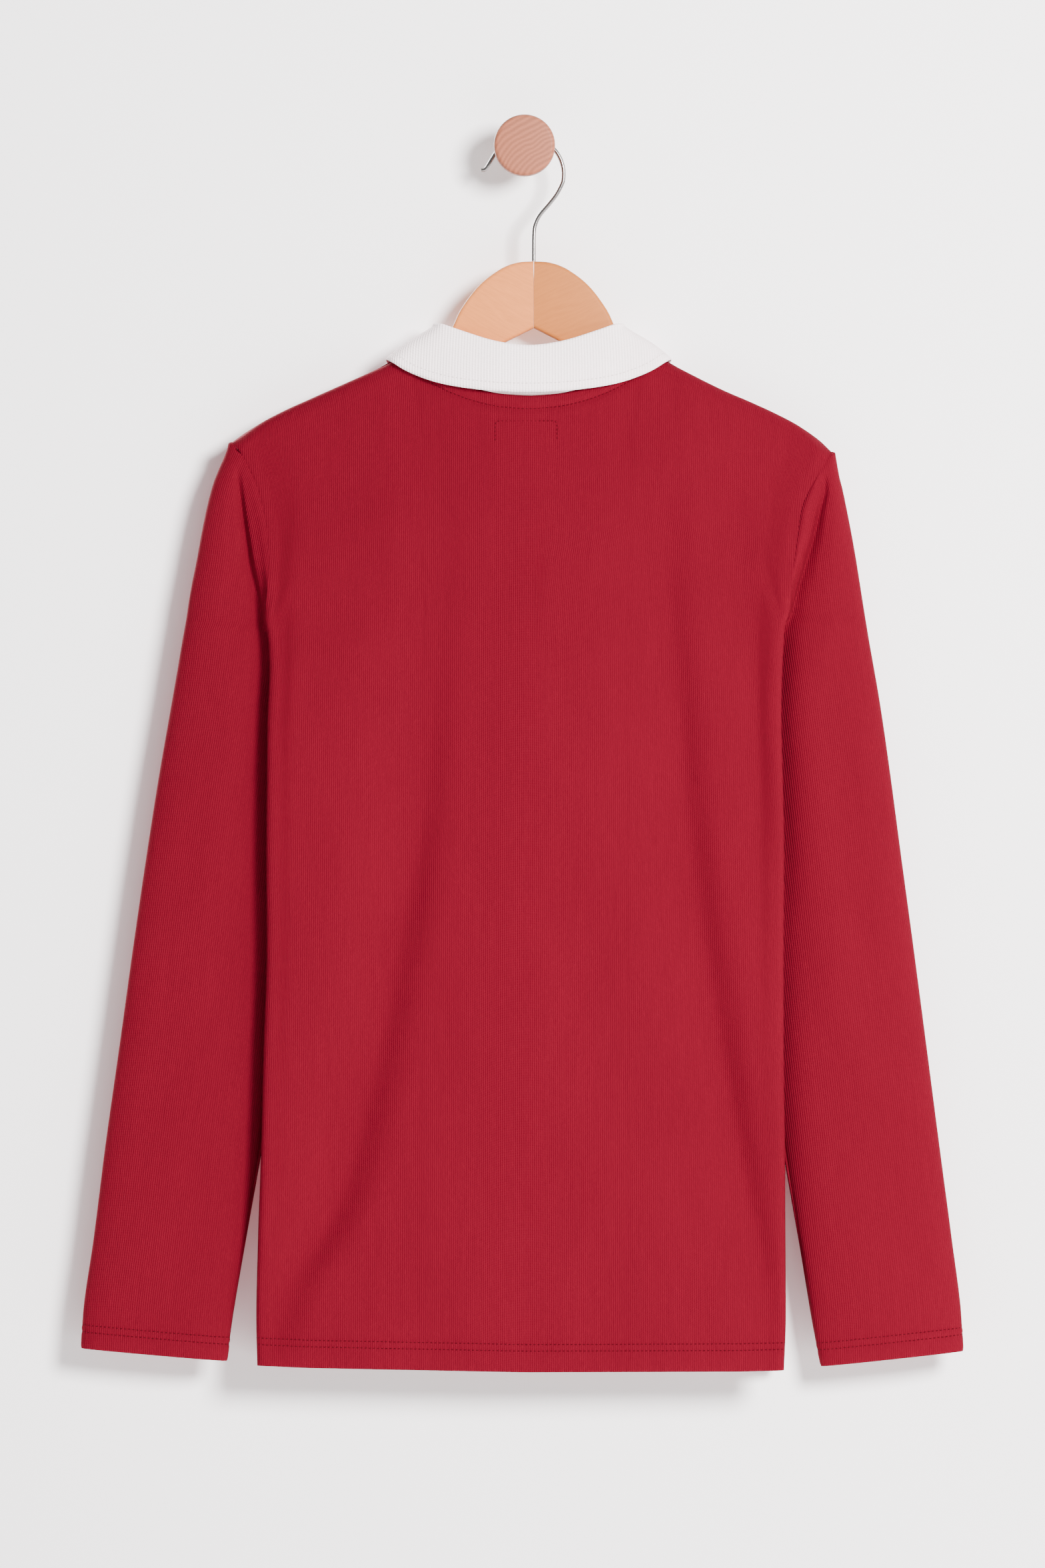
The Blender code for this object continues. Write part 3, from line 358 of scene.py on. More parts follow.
class Section:
    """One horizontal section through one side of one face, in distances out from X = 0."""

    def __init__(self, side, face, row):
        rows = BODY[side]
        self.sign = SIGN[side]
        self.face = face
        self.row = row
        self.z = rows["z"][row]
        self.seam = rows["seam"][row]
        self.fold = rows["fold"][row]
        self.flat, self.mid = sleeve_level(face, self.z)
        self.crease = read(SLEEVE, "crease", self.z)
        self.top = self.stand(self.fold)
        room = self.top - self.flat - FLAP_CLEARANCE
        self.radius = min(max(room / 2, 0.5), FOLD_RADIUS)
        self.flap = max(0.0, self.fold - self.radius - self.seam)

    def stand(self, distance):
        return stand_out(self.face, self.sign * distance, self.z)

    def seam_reach(self):
        """The length of cloth from the start of the fold's turn to the seam."""
        turn = math.pi * self.radius
        if self.row < CROSSING_ROW:
            return SIDE_REACH
        if self.row == CROSSING_ROW:
            return turn / 2
        if self.row < UNDERARM_ROW:
            return turn + self.flap
        return turn + self.flap + self.top - 2 * self.radius - self.mid - SEAM_GAP / 2

    def panel_columns(self):
        """(distance, stand-out) of the panel's side columns, from the flat to the seam."""
        reach = self.seam_reach()
        share = np.linspace(0, 1, SIDE_CELLS + 1)
        if self.row < CROSSING_ROW:
            distance = self.seam - SEAM_GAP / 2 - reach * (1 - share)
            return distance, self.stand(distance)
        turn = math.pi * self.radius
        along = reach * share
        if self.flap > 3:
            corner = self.flap if self.row >= UNDERARM_ROW else self.flap - 2
            rest = [turn + self.flap / 2, turn + corner, reach]
            along = np.concatenate([turn * np.linspace(0, 1, 5), rest])
        angle = np.clip(along / self.radius, 0, math.pi)
        back = np.clip(along - turn, 0, self.flap)
        down = np.clip(along - turn - self.flap, 0, None)
        distance = self.fold - self.radius + self.radius * np.sin(angle) - back
        out = self.top - self.radius * (1 - np.cos(angle)) - down
        return distance, out

    def sleeve_columns(self, cells, outer, inner):
        """(distance, stand-out) of the sleeve's half, from the armhole seam to its outer edge."""
        total = GUSSET_CELLS + cells
        share = (1 - np.cos(np.linspace(0, math.pi, total + 1))) / 2
        if self.row > CROSSING_ROW:
            start = inner if self.row >= UNDERARM_ROW else self.seam
            reach = share if self.row >= UNDERARM_ROW else np.maximum(share, 0.5)
            rise = (1 - np.abs(2 * reach - 1) ** ROUND_POWER) ** (1 / ROUND_POWER)
            distance = start + (outer - start) * share
            out = self.mid + (self.flat - self.mid) * rise
            if self.row < UNDERARM_ROW:
                out[0] = self.top - 2 * self.radius - SEAM_GAP
            return distance, out
        valley = self.fold + CREASE["past_fold"]
        along = np.sin(np.linspace(0, math.pi / 2, cells + 1))
        rise = (1 - along**ROUND_POWER) ** (1 / ROUND_POWER)
        distance = valley + (outer - valley) * along
        dip = self.crease * np.clip(1 - along / CREASE["share"], 0, 1) ** 2
        out = self.mid + (self.flat - self.mid) * rise - dip
        if self.row == CROSSING_ROW:
            start = (self.fold, self.top - self.radius - SEAM_GAP)
            gusset_distance = np.linspace(start[0], valley, GUSSET_CELLS + 1)
            gusset_out = np.linspace(start[1], out[0], GUSSET_CELLS + 1)
        else:
            first = self.seam + SEAM_GAP / 2
            turn = max(self.fold - self.radius, first + 0.5)
            bend = turn + self.radius * RIDGE_TURN
            top = self.stand(np.array([first, turn]))
            fall = top[1] - out[0]
            gusset_distance = np.array([first, turn, bend, (bend + valley) / 2, valley])
            falling = [top[1] - fall * 0.2, out[0] + fall * 0.3, out[0]]
            gusset_out = np.array([*top, *falling])
        distance = np.concatenate([gusset_distance[:-1], distance])
        out = np.concatenate([gusset_out[:-1], out])
        first = gusset_distance[0], gusset_out[0]
        even = first[0] + (outer - first[0]) * share
        close = self.mid + (first[1] - self.mid) * (1 - share**ROUND_POWER) ** (1 / ROUND_POWER)
        blend = np.clip((outer - self.seam - TIP_BLEND) / TIP_BLEND, 0, 1)
        return even + (distance - even) * blend, close + (out - close) * blend


def panel_grid(face, inner_cells, outer_cells, middle):
    """A panel's outside as rows down and columns across: tuck, flat, flat, tuck."""
    row_count = len(BODY["left"]["z"])
    halves = {}
    for side, rows in BODY.items():
        sign = SIGN[side]
        neck_point = NECK_HALF_WIDTH + sign * NECK_CENTRE
        points = []
        for row in range(row_count):
            section = Section(side, face, row)
            distance, out = section.panel_columns()
            if row == 0:
                neck_share = neck_point / distance[0]
            neck = neck_share * distance[0]
            wide, close = NECK_SPACING
            near = np.linspace(middle + sign * NECK_CENTRE, wide * neck, inner_cells - 1)
            near = np.append(near, [close * neck, neck])
            far = np.linspace(neck, distance[0], outer_cells + 1)
            flat = np.concatenate([near, far[1:-1]])
            share = (section.z - rows["z"][0]) / (rows["z"][-1] - rows["z"][0])
            x = sign * np.concatenate([flat, distance])
            top = top_edge(face, x)
            bottom = np.interp(x, HEM["x"], HEM["z"])
            z = top + (bottom - top) * share
            tilt = max(0, 1 - row / CROSSING_ROW) ** 2
            level = section.z + tilt * (top[len(flat):] - top[-1])
            z[len(flat):] = np.where(share < 1, level, z[len(flat):])
            stand = np.concatenate([stand_out(face, sign * flat, z[:len(flat)]), out])
            points.append(np.stack([x, stand, z], axis=1))
        halves[side] = np.array(points)
    left = halves["left"][:, ::-1]
    right = halves["right"] if middle else halves["right"][:, 1:]
    grid = np.concatenate([left, right], axis=1)
    grid[:, :, 1] = HANGER_PLANE + TOWARD[face] * grid[:, :, 1]
    return grid


def sleeve_grid(side, cells):
    """A sleeve's outside: its back from the seam to its outer edge, then its front to the seam."""
    rows = BODY[side]
    sign = SIGN[side]
    last = len(rows["z"]) - 1
    grid = []
    for row in range(last + 1):
        z = CUFF[side] if row == last else rows["z"][row]
        outer = read(rows, "outer", z)
        share = (z - CUFF_DROP_FROM) / (CUFF[side] - CUFF_DROP_FROM)
        drop = CUFF_DROP[side] * np.clip(share, 0, 1)
        inner = read(rows, "inner", z - drop)
        halves = []
        for face, toward in TOWARD.items():
            distance, out = Section(side, face, row).sleeve_columns(cells[face], outer, inner)
            lower = drop * (outer - distance) / (outer - inner + 1e-9)
            points = [sign * distance, HANGER_PLANE + toward * out, z - lower]
            halves.append(np.stack(points, axis=1))
        grid.append(np.concatenate([halves[0], halves[1][-2::-1]]))
    return np.array(grid)


def smooth_rows(rows, steps):
    """Rows of numbers with steps between each pair, on a smooth curve through all of them."""
    ends = np.concatenate([2 * rows[:1] - rows[1:2], rows, 2 * rows[-1:] - rows[-2:-1]])
    t = (np.arange(steps) / steps)[None, :, None]
    before, start, end, after = (ends[i:len(rows) - 1 + i][:, None] for i in range(4))
    curve = (
        2 * start + (end - before) * t + (2 * before - 5 * start + 4 * end - after) * t**2
        + (3 * start - before - 3 * end + after) * t**3
    ) / 2
    return np.concatenate([curve.reshape(-1, rows.shape[1]), rows[-1:]])


def collar_grid():
    """The collar's middle sheet: from its foot up the stand, round the fold and down the fall."""
    half = np.stack([COLLAR[name] for name in COLLAR], axis=1)
    mirrored = half[:0:-1].copy()
    mirrored[:, [0, 1, 4]] *= -1
    stations = smooth_rows(np.concatenate([mirrored, half]), COLLAR_STEPS)
    fold, edge = stations[:, 1:4], stations[:, 4:7]
    widest = NECK_HALF_WIDTH - 0.5
    foot_x = np.clip(stations[:, 0], -widest, widest)
    side_station = COLLAR_STEPS * int(np.argmax(COLLAR["foot_x"]))
    behind = np.abs(np.arange(len(stations)) - len(stations) // 2) <= side_station
    foot = np.zeros((len(stations), 3))
    for face, chosen, toward in (("back", behind, 1), ("front", ~behind, -1)):
        x = foot_x[chosen] + NECK_CENTRE
        z = top_edge(face, x)
        out = toward * (stand_out(face, x, z) - CLOTH / 2)
        foot[chosen] = np.stack([foot_x[chosen], out, z + COLLAR_FOOT_GAP], axis=1)
    along = np.gradient(fold[:, :2], axis=0)
    outward = np.stack([-along[:, 1], along[:, 0], np.zeros(len(fold))], axis=1)
    outward /= np.linalg.norm(outward, axis=1, keepdims=True)
    up = np.array([0, 0, COLLAR_FOLD_RADIUS])
    inside = fold - outward * COLLAR_FOLD_RADIUS - up
    outside = fold + outward * COLLAR_FOLD_RADIUS - up
    across, down = COLLAR_TURN
    shoulder_in = fold - outward * COLLAR_FOLD_RADIUS * across - up * down
    shoulder_out = fold + outward * COLLAR_FOLD_RADIUS * across - up * down
    middle = (foot + inside) / 2
    belly = outside + (edge - outside) * COLLAR_HANG["down"] + outward * COLLAR_HANG["out"]
    sheet = np.stack([foot, middle, inside, shoulder_in, shoulder_out, outside, belly, edge])
    sheet[:, :, 0] += NECK_CENTRE
    sheet[:, :, 1] = HANGER_PLANE - sheet[:, :, 1]
    return sheet


def arm_outline(sign):
    """A hanger arm: its top from the middle out to its end, then its underside back."""
    dome = np.linspace(0, ARM_TOP["out"][-1], DOME_POINTS)
    first = list(zip(dome, smooth_read(ARM_TOP, "z", dome, "out")))
    outer = np.linspace(ARM_FOLLOWS_SHOULDER_FROM, HANGER_HALF_LENGTH - ARM_END_FROM, 9)
    top = shoulder_line(HANGER_MIDDLE + sign * outer) - ARM_UNDER_CLOTH
    end = [(HANGER_HALF_LENGTH - inward, top[-1] - down) for inward, down in ARM_END]
    under = list(zip(ARM_UNDER["out"], ARM_UNDER["z"]))[::-1]
    points = first + list(zip(outer, top)) + end + under
    return [(HANGER_MIDDLE + sign * max(out, MITRE_GAP / 2), z) for out, z in points]


def refine(grid, row_steps, column_steps):
    """The grid with extra rows and columns on smooth curves through the old ones.

    Returns the points, and the old row and column number that each new row and column has.
    """
    down = np.arange(len(grid), dtype=float)
    if len(grid) == len(BODY["left"]["z"]):
        heights = BODY["left"]["z"] + BODY["right"]["z"]
        down = np.concatenate([[0], np.cumsum(-np.diff(heights))])
    across = np.linalg.norm(np.diff(grid, axis=1), axis=2).mean(axis=0)
    across = np.concatenate([[0], np.cumsum(across)])
    numbers = []
    for knots, steps in ((down, row_steps), (across, column_steps)):
        parts = [i + np.arange(n) / n for i, n in enumerate(steps)]
        numbers.append(np.concatenate(parts + [[len(knots) - 1]]))
        at = np.interp(numbers[-1], np.arange(len(knots)), knots)
        grid = pchip(knots, grid, at).transpose(1, 0, 2)
    return grid, *numbers


def grid_faces(rows, columns, flip=False):
    index = np.arange(rows * columns).reshape(rows, columns)
    faces = np.stack([index[:-1, :-1], index[1:, :-1], index[1:, 1:], index[:-1, 1:]], axis=2)
    return faces[..., ::-1] if flip else faces


def grid_normals(grid, flip=False):
    """Unit normals of a grid of points, from its central differences."""
    normals = unit(np.cross(np.gradient(grid, axis=0), np.gradient(grid, axis=1)))
    return -normals if flip else normals


def bell(distance, width):
    return np.exp(-((distance / width) ** 2))


def ease(share):
    """The share from 0 to 1 with a gentle start and end."""
    return share**2 * (3 - 2 * share)


def unit(vectors):
    return vectors / (np.linalg.norm(vectors, axis=-1, keepdims=True) + 1e-9)


def running_length(points, axis):
    """The length along the cloth, down the columns of points (0) or along their rows (1)."""
    steps = np.linalg.norm(np.diff(points, axis=axis), axis=-1)
    return np.cumsum(np.insert(steps, 0, 0, axis=axis), axis=axis)


def edge_distance(grid, edge):
    """How far each point is along its column from the last row, or from the first."""
    down = running_length(grid, 0)
    return down if edge == "first" else down[-1] - down


def seam_distance(grid, edge):
    """How far each point is along its row from the last column, or from the first."""
    across = running_length(grid, 1)
    return across if edge == "first" else across[:, -1:] - across


def place(name, data):
    """A new object in the scene."""
    made = bpy.data.objects.new(name, data)
    bpy.context.collection.objects.link(made)
    return made


def new_mesh(name, points, faces, material, uv=None, smooth=True):
    """A mesh object from points in millimetres and an array of faces."""
    mesh = bpy.data.meshes.new(name)
    mesh.from_pydata((np.asarray(points) * MM).tolist(), [], faces.tolist())
    if uv is not None:
        corners = np.empty(len(mesh.loops), np.int32)
        mesh.loops.foreach_get("vertex_index", corners)
        layer = mesh.uv_layers.new(name="Knit")
        layer.data.foreach_set("uv", (uv[corners] * MM).ravel())
    mesh.validate()
    if smooth:
        mesh.shade_smooth()
    mesh.materials.append(material)
    return place(name, mesh)


def cloth_piece(name, outside, inside, uv, material, flip=False, keep=None):
    """A sheet from its two sides, closed by a rim. Only the cells in keep are made."""
    rows, columns = outside.shape[:2]
    count = rows * columns
    used = np.ones((rows - 1, columns - 1), bool) if keep is None else keep
    faces = grid_faces(rows, columns, flip)[used]
    edges = np.concatenate([faces[:, [i, (i + 1) % 4]] for i in range(4)])
    code = edges[:, 0] * count + edges[:, 1]
    twin = edges[:, 1] * count + edges[:, 0]
    free = edges[~np.isin(code, twin)]
    rim = np.concatenate([free[:, ::-1], free + count], axis=1)
    points = np.concatenate([outside.reshape(-1, 3), inside.reshape(-1, 3)])
    every = np.concatenate([faces, faces[:, ::-1] + count, rim])
    both = np.concatenate([uv.reshape(-1, 2)] * 2)
    needed, index = np.unique(every, return_inverse=True)
    return new_mesh(name, points[needed], index.reshape(every.shape), material, both[needed])


def knit_map(grid, middle):
    """Distances along the cloth: across from the middle column, and down from the first row."""
    across = running_length(grid, 1)
    return np.stack([across - across[:, middle:middle + 1], -running_length(grid, 0)], axis=2)


# Cells between the fine grid's points, at most this long.
SPACING = {
    "rows": 3.3, "shoulder": 2.2, "hem": 1.7, "back": 3.2, "front": 4.2, "sleeve": 3.2, "tuck": 2.0,
}
# Cells across a panel's half, inside and outside its neck point, and half the gap in its middle.
PANEL_CELLS = {"back": (6, 7, 0), "front": (6, 5, ZIP_HALF_SLIT)}
SLEEVE_CELLS = {"back": 7, "front": 5}

# Rows of stitches, as distances along the cloth from the edge beside them, and each groove's form.
HEM_ROWS = (15.0, 19.7)
CUFF_ROWS = (12.0, 17.0)
NECK_ROW = 9.4
LABEL = {"left": -20.7, "right": 23.0, "top": -194.3, "bottom": -209.0, "corner": 3.0}
NECK_STEP = {"height": 0.8, "fade": 3.0}
GROOVE = {"depth": 0.4, "width": 1.4}
NECK_GROOVE = 4.5
EDGE_BAND = {"height": 0.35, "past_row": 0.6, "fade": 2.0}
EDGE_TIP = {"depth": 0.5, "width": 1.3}
COLLAR_ROW = 6.2
COLLAR_GROOVE = {"depth": 0.35, "width": 0.9}
COLLAR_BELLY = {"height": 0.7, "from_edge": 14, "width": 11}
COLLAR_ROUND = 0.9
SEAM_ROLL = {"left": 0.2, "right": 0.04}
SEAM_ROLL_WIDTH = 1.2
SEAM_HOLD = 4.0
SHOULDER_RISE = (SEAM_GAP / 2, 5.0)
STITCH = {"pitch": 2.9, "length": 2.3, "width": 0.75, "height": 0.28, "out": 0.1}

# Soft waves on each sleeve's back, as shares of the way from its inner to its outer edge.
SLEEVE_WAVES = {
    "left": tables(
        "z share width depth",
        inner=[
            (-230, 0.5, 12, 0), (-300, 0.45, 14, 0.8), (-420, 0.35, 16, 1.4), (-560, 0.36, 18, 1.2),
            (-700, 0.40, 18, 0.7), (-850, 0.42, 18, 0),
        ],
        outer=[
            (-300, 0.8, 12, 0), (-480, 0.74, 14, 0.9), (-640, 0.72, 16, 0.8), (-850, 0.72, 16, 0),
        ],
    ),
    "right": tables(
        "z share width depth",
        inner=[
            (-240, 0.5, 10, 0), (-330, 0.34, 12, 1.2), (-430, 0.30, 14, 1.6), (-560, 0.32, 16, 1.4),
            (-700, 0.36, 18, 0.8), (-850, 0.40, 18, 0),
        ],
        outer=[
            (-300, 0.72, 12, 0), (-460, 0.70, 14, 1.0), (-640, 0.68, 16, 1.0), (-850, 0.66, 16, 0),
        ],
    ),
}
# The waves of its front, as a share of those of its back.
FRONT_WAVE_SHARE = 0.6

# How far each sleeve sinks beside the body's edge, fading outwards over its reach. Above the
# underarm the cloth between the armhole and that edge stays up, as a ridge with a soft side.
RIDGE_WIDTH = {"left": 30.0, "right": 7.0}
UNDERARM_BLEND = {"from": -322.0, "over": 40.0}
VALLEY_BLEND = {"from": -316.0, "to": -374.0, "reach": 30.0, "fade": 12.0}
SLEEVE_DIP = tables(
    "z depth reach",
    left=[
        (-230, 0, 12), (-270, 3, 12), (-320, 5, 12), (-420, 7, 12), (-600, 6, 12), (-760, 3, 12),
        (-830, 0, 12),
    ],
    right=[
        (-228, 0, 14), (-262, 4, 14), (-300, 6.5, 13), (-322, 7.6, 12), (-337, 11, 10),
        (-350, 11, 9), (-366, 10.4, 9), (-430, 10, 10), (-600, 8, 12), (-750, 4, 13), (-830, 0, 13),
    ],
)
# The rows evened out beside the underarm, how often, and over how many rows.
SOFT = {"after": 8, "before": 14, "times": 30, "window": 13}
# The sleeve's first fine rows: what part of the seam's roll each has, and how thick each is.
ROLL_START = [0, 0.2, 0.5, 0.8]
THICK_START = [0.35, 0.6, CLOTH]


def row_steps():
    """Steps between the table's rows: close at the shoulder and the hem, where grooves run."""
    gaps = -np.diff(BODY["left"]["z"])
    spacing = np.full(len(gaps), SPACING["rows"])
    spacing[:6] = SPACING["shoulder"]
    spacing[-1] = SPACING["hem"]
    return np.maximum(1, np.ceil(gaps / spacing)).astype(int)


def column_steps(grid, kind, tuck):
    """Steps between the grid's columns, closer in its tucks."""
    across = np.linalg.norm(np.diff(grid, axis=1), axis=2).mean(axis=0)
    wanted = np.where(tuck, SPACING["tuck"], SPACING[kind])
    return np.maximum(1, np.ceil(across / wanted)).astype(int)


def turned_edge(distance, rows):
    """A turned-up edge: a band a little proud of the cloth, with a groove under each stitch row."""
    fade = np.clip((distance - rows[1] - EDGE_BAND["past_row"]) / EDGE_BAND["fade"], 0, 1)
    grooves = sum(GROOVE["depth"] * bell(distance - row, GROOVE["width"]) for row in rows)
    tip = EDGE_TIP["depth"] * bell(distance, EDGE_TIP["width"])
    return EDGE_BAND["height"] * (1 - fade) - grooves - tip


def close_shoulder(coarse, toward):
    """Brings the two panels together at the shoulder's tip, where the solids leave them apart."""
    seam = np.abs(coarse[0, :, 0] - NECK_CENTRE) > NECK_HALF_WIDTH + 1
    for row, most in enumerate(SHOULDER_RISE):
        stand = toward * (coarse[row, seam, 1] - HANGER_PLANE)
        coarse[row, seam, 1] = HANGER_PLANE + toward * np.minimum(stand, most)


def fine_panel(face):
    """A panel's outside with its folds, its grooves and its turned hem."""
    coarse = panel_grid(face, *PANEL_CELLS[face])
    close_shoulder(coarse, TOWARD[face])
    columns = coarse.shape[1]
    cell = np.arange(columns - 1)
    tuck = (cell < SIDE_CELLS) | (cell >= columns - 1 - SIDE_CELLS)
    steps = column_steps(coarse, face, tuck)
    if face == "front":
        steps[columns // 2 - 1] = 1
    grid, row_at, column_at = refine(coarse, row_steps(), steps)
    inward = np.minimum(column_at, columns - 1 - column_at) / SIDE_CELLS
    folds = BACK_FOLDS if face == "back" else FRONT_FOLDS
    x, z = grid[:, :, 0], grid[:, :, 2]
    fade = fold_fade(x, z)
    sink = fold_depth(folds, x, z) * ease(np.clip(inward, 0, 1)) * fade
    above = (row_at < CROSSING_ROW)[:, None]
    for edge, side in (("first", "left"), ("last", "right")):
        roll = bell(seam_distance(grid, edge), SEAM_ROLL_WIDTH)
        sink = sink + above * fade * SEAM_ROLL[side] * roll
    neck = np.abs(x[0] - NECK_CENTRE) < NECK_HALF_WIDTH
    slope = np.gradient(grid[0, :, 2], grid[0, :, 0])
    from_top = edge_distance(grid, "first") / np.sqrt(1 + slope**2)
    if face == "back":
        groove = bell(from_top - NECK_ROW, GROOVE["width"])
        sink = sink + neck * NECK_GROOVE * GROOVE["depth"] * groove
        band = np.clip(1 - (from_top - NECK_ROW) / NECK_STEP["fade"], 0, 1) * (from_top > 0.5)
        sink = sink - neck * NECK_STEP["height"] * band
    sink = sink - turned_edge(edge_distance(grid, "last"), HEM_ROWS) * np.clip(inward * 4, 0, 1)
    grid[:, :, 1] -= TOWARD[face] * sink
    return grid, row_at, from_top


def build_panel(face, material):
    grid, row_at, from_top = fine_panel(face)
    rows, columns = grid.shape[:2]
    flip = face == "front"
    normals = grid_normals(grid, flip)
    lower = (row_at >= UNDERARM_ROW)[:, None] & np.isin(np.arange(columns), (0, columns - 1))
    normals[lower, 1] = 0
    flat_top = np.abs(grid[0, :, 0] - NECK_CENTRE) >= NECK_HALF_WIDTH - 0.5
    normals[0, flat_top, 1] = 0
    normals = unit(normals)
    keep = np.ones((rows - 1, columns - 1), bool)
    if face == "front":
        keep[row_at[:-1] < ZIP_END_ROW, columns // 2 - 1] = False
    uv = knit_map(grid, columns // 2)
    inside = grid - normals * CLOTH
    piece = cloth_piece(f"{face}_knit", grid, inside, uv, material, flip, keep)
    return piece, grid, normals, from_top


def fine_sleeve(side):
    """A sleeve's outside, the old row and column numbers, and the column of its outer edge."""
    coarse = sleeve_grid(side, SLEEVE_CELLS)
    steps = column_steps(coarse, "sleeve", np.arange(coarse.shape[1] - 1) < GUSSET_CELLS)
    grid, row_at, column_at = refine(coarse, row_steps(), np.maximum(steps, 2))
    middle = int(np.argmin(np.abs(column_at - GUSSET_CELLS - SLEEVE_CELLS["back"])))
    return grid, row_at, column_at, middle


def sleeve_folds(side, grid, column_at, middle):
    """How far the sleeve's soft waves sink below its flat, by the share of the way across."""
    x, z = grid[:, :, 0], grid[:, :, 2]
    inner, outer = np.abs(x[:, :1]), np.abs(x[:, middle:middle + 1])
    share = (np.abs(x) - inner) / (outer - inner + 1e-9)
    depth = np.zeros(x.shape)
    for wave in SLEEVE_WAVES[side].values():
        line = smooth_read(wave, "share", z)
        width = smooth_read(wave, "width", z) / (outer - inner)
        depth = depth + smooth_read(wave, "depth", z) * bell(share - line, width)
    depth = depth * np.clip(4 * share, 0, 1) * np.clip(4 - 4 * share, 0, 1)
    from_body = np.abs(x) - smooth_read(BODY[side], "fold", z)
    dip = SLEEVE_DIP[side]
    reach = smooth_read(dip, "reach", z)
    dip_depth = smooth_read(dip, "depth", z) * np.exp(-np.clip(from_body, 0, None) / reach)
    inside = ease(np.clip(1 + from_body / RIDGE_WIDTH[side], 0, 1))
    below = np.clip((UNDERARM_BLEND["from"] - z) / UNDERARM_BLEND["over"], 0, 1)
    held = np.clip(seam_distance(grid, "first") / SEAM_HOLD, 0, 1) ** 2
    inside = (inside + (1 - inside) * below) * (held + (1 - held) * below)
    on_back = column_at <= column_at[middle]
    return np.where(on_back, depth + dip_depth * inside, FRONT_WAVE_SHARE * depth)


def soften(grid, rows):
    """Evens out how far the chosen rows stand out, leaving the first and last columns alone."""
    window = np.hanning(SOFT["window"])
    weight = np.convolve(rows.astype(float), window / window.sum(), "same")[1:-1, None]
    out = grid[:, :, 1]
    for _ in range(SOFT["times"]):
        around = (out[:-2, 1:-1] + out[2:, 1:-1]) / 2
        out[1:-1, 1:-1] += weight * (around - out[1:-1, 1:-1])


def blend_underarm(side, grid, middle):
    """Lets the valley beside the body run on past the underarm, between two rows."""
    back = slice(0, middle + 1)
    x, y, z = (grid[:, back, i] for i in range(3))
    from_body = np.abs(x) - smooth_read(BODY[side], "fold", z)
    first, last = (int(np.argmin(np.abs(z[:, 0] - VALLEY_BLEND[k]))) for k in ("from", "to"))
    above, below = y[first].copy(), y[last].copy()
    for row in range(first + 1, last):
        share = ease((z[first, 0] - z[row, 0]) / (z[first, 0] - z[last, 0]))
        at = from_body[row]
        blended = (1 - share) * np.interp(at, from_body[first], above)
        blended = blended + share * np.interp(at, from_body[last], below)
        fade = np.clip((VALLEY_BLEND["reach"] - at) / VALLEY_BLEND["fade"], 0, 1)
        weight = np.clip(at / 2, 0, 1) * fade
        grid[row, back, 1] = y[row] * (1 - weight) + blended * weight


def build_sleeve(side, material):
    """A sleeve's sheet, with the soft waves beside the armhole and the turned cuff."""
    grid, row_at, column_at, middle = fine_sleeve(side)
    uv = knit_map(grid, middle)
    soften(grid, (row_at > SOFT["after"]) & (row_at < SOFT["before"]))
    sink = sleeve_folds(side, grid, column_at, middle)
    grid[:, :, 1] += np.where(np.arange(grid.shape[1]) <= middle, sink, -sink)
    blend_underarm(side, grid, middle)
    flip = side == "left"
    normals = grid_normals(grid, flip)
    above = (row_at < CROSSING_ROW)[:, None]
    roll = np.zeros(grid.shape[:2])
    for edge in ("first", "last"):
        distance = seam_distance(grid, edge)
        roll = roll + above * SEAM_ROLL[side] * bell(distance, SEAM_ROLL_WIDTH)
    roll = roll - turned_edge(edge_distance(grid, "last"), CUFF_ROWS)
    roll[:len(ROLL_START)] *= np.array(ROLL_START)[:, None]
    grid = grid - normals * roll[:, :, None]
    thick = np.interp(row_at, range(len(THICK_START)), THICK_START)
    inside = grid - normals * thick[:, None, None]
    piece = cloth_piece(f"sleeve_{side}_knit", grid, inside, uv, material, flip)
    return piece, grid, normals


def build_collar(material):
    """The collar's sheet, from its foot round the fold to its edge, with both sides and a rim."""
    coarse = collar_grid()
    rows, columns = coarse.shape[:2]
    down = np.full(rows - 1, 3)
    down[[1, -2, -1]] = 7
    middle, row_at, _ = refine(coarse, down, np.full(columns - 1, 2))
    normals = grid_normals(middle)
    from_edge = edge_distance(middle, "last")
    fall = (row_at > 4)[:, None]
    belly = bell(from_edge - COLLAR_BELLY["from_edge"], COLLAR_BELLY["width"])
    belly = COLLAR_BELLY["height"] * belly * fall
    rim = np.sqrt(1 - np.clip(1 - from_edge / COLLAR_ROUND, 0, 0.92) ** 2)
    groove = bell(from_edge - COLLAR_ROW, COLLAR_GROOVE["width"])
    half = RIB / 2 * rim - COLLAR_GROOVE["depth"] * groove * fall / 2
    outer = middle + normals * (half + belly)[:, :, None]
    inside = outer - normals * (2 * half)[:, :, None]
    uv = knit_map(middle, middle.shape[1] // 2)
    return cloth_piece("collar_rib", outer, inside, uv, material), outer, normals


def build_tape(side, material):
    sign = SIGN[side]
    reach = np.linspace(SEAM_GAP / 2, TAPE_REACH, 5)
    x, z = np.meshgrid(NECK_CENTRE + sign * reach, np.linspace(TAPE_TOP, TAPE_FOOT, 60))
    folds = fold_depth(FRONT_FOLDS, x, z) * fold_fade(x, z)
    out = stand_out("front", x, z) - folds - CLOTH - SEAM_GAP
    grid = np.stack([x, HANGER_PLANE + out, z], axis=2)
    if sign < 0:
        grid = grid[:, ::-1]
    inside = grid - [0, TAPE, 0]
    uv = knit_map(grid, 0)
    return cloth_piece(f"zip_tape_{side}_cloth", grid, inside, uv, material, sign < 0)


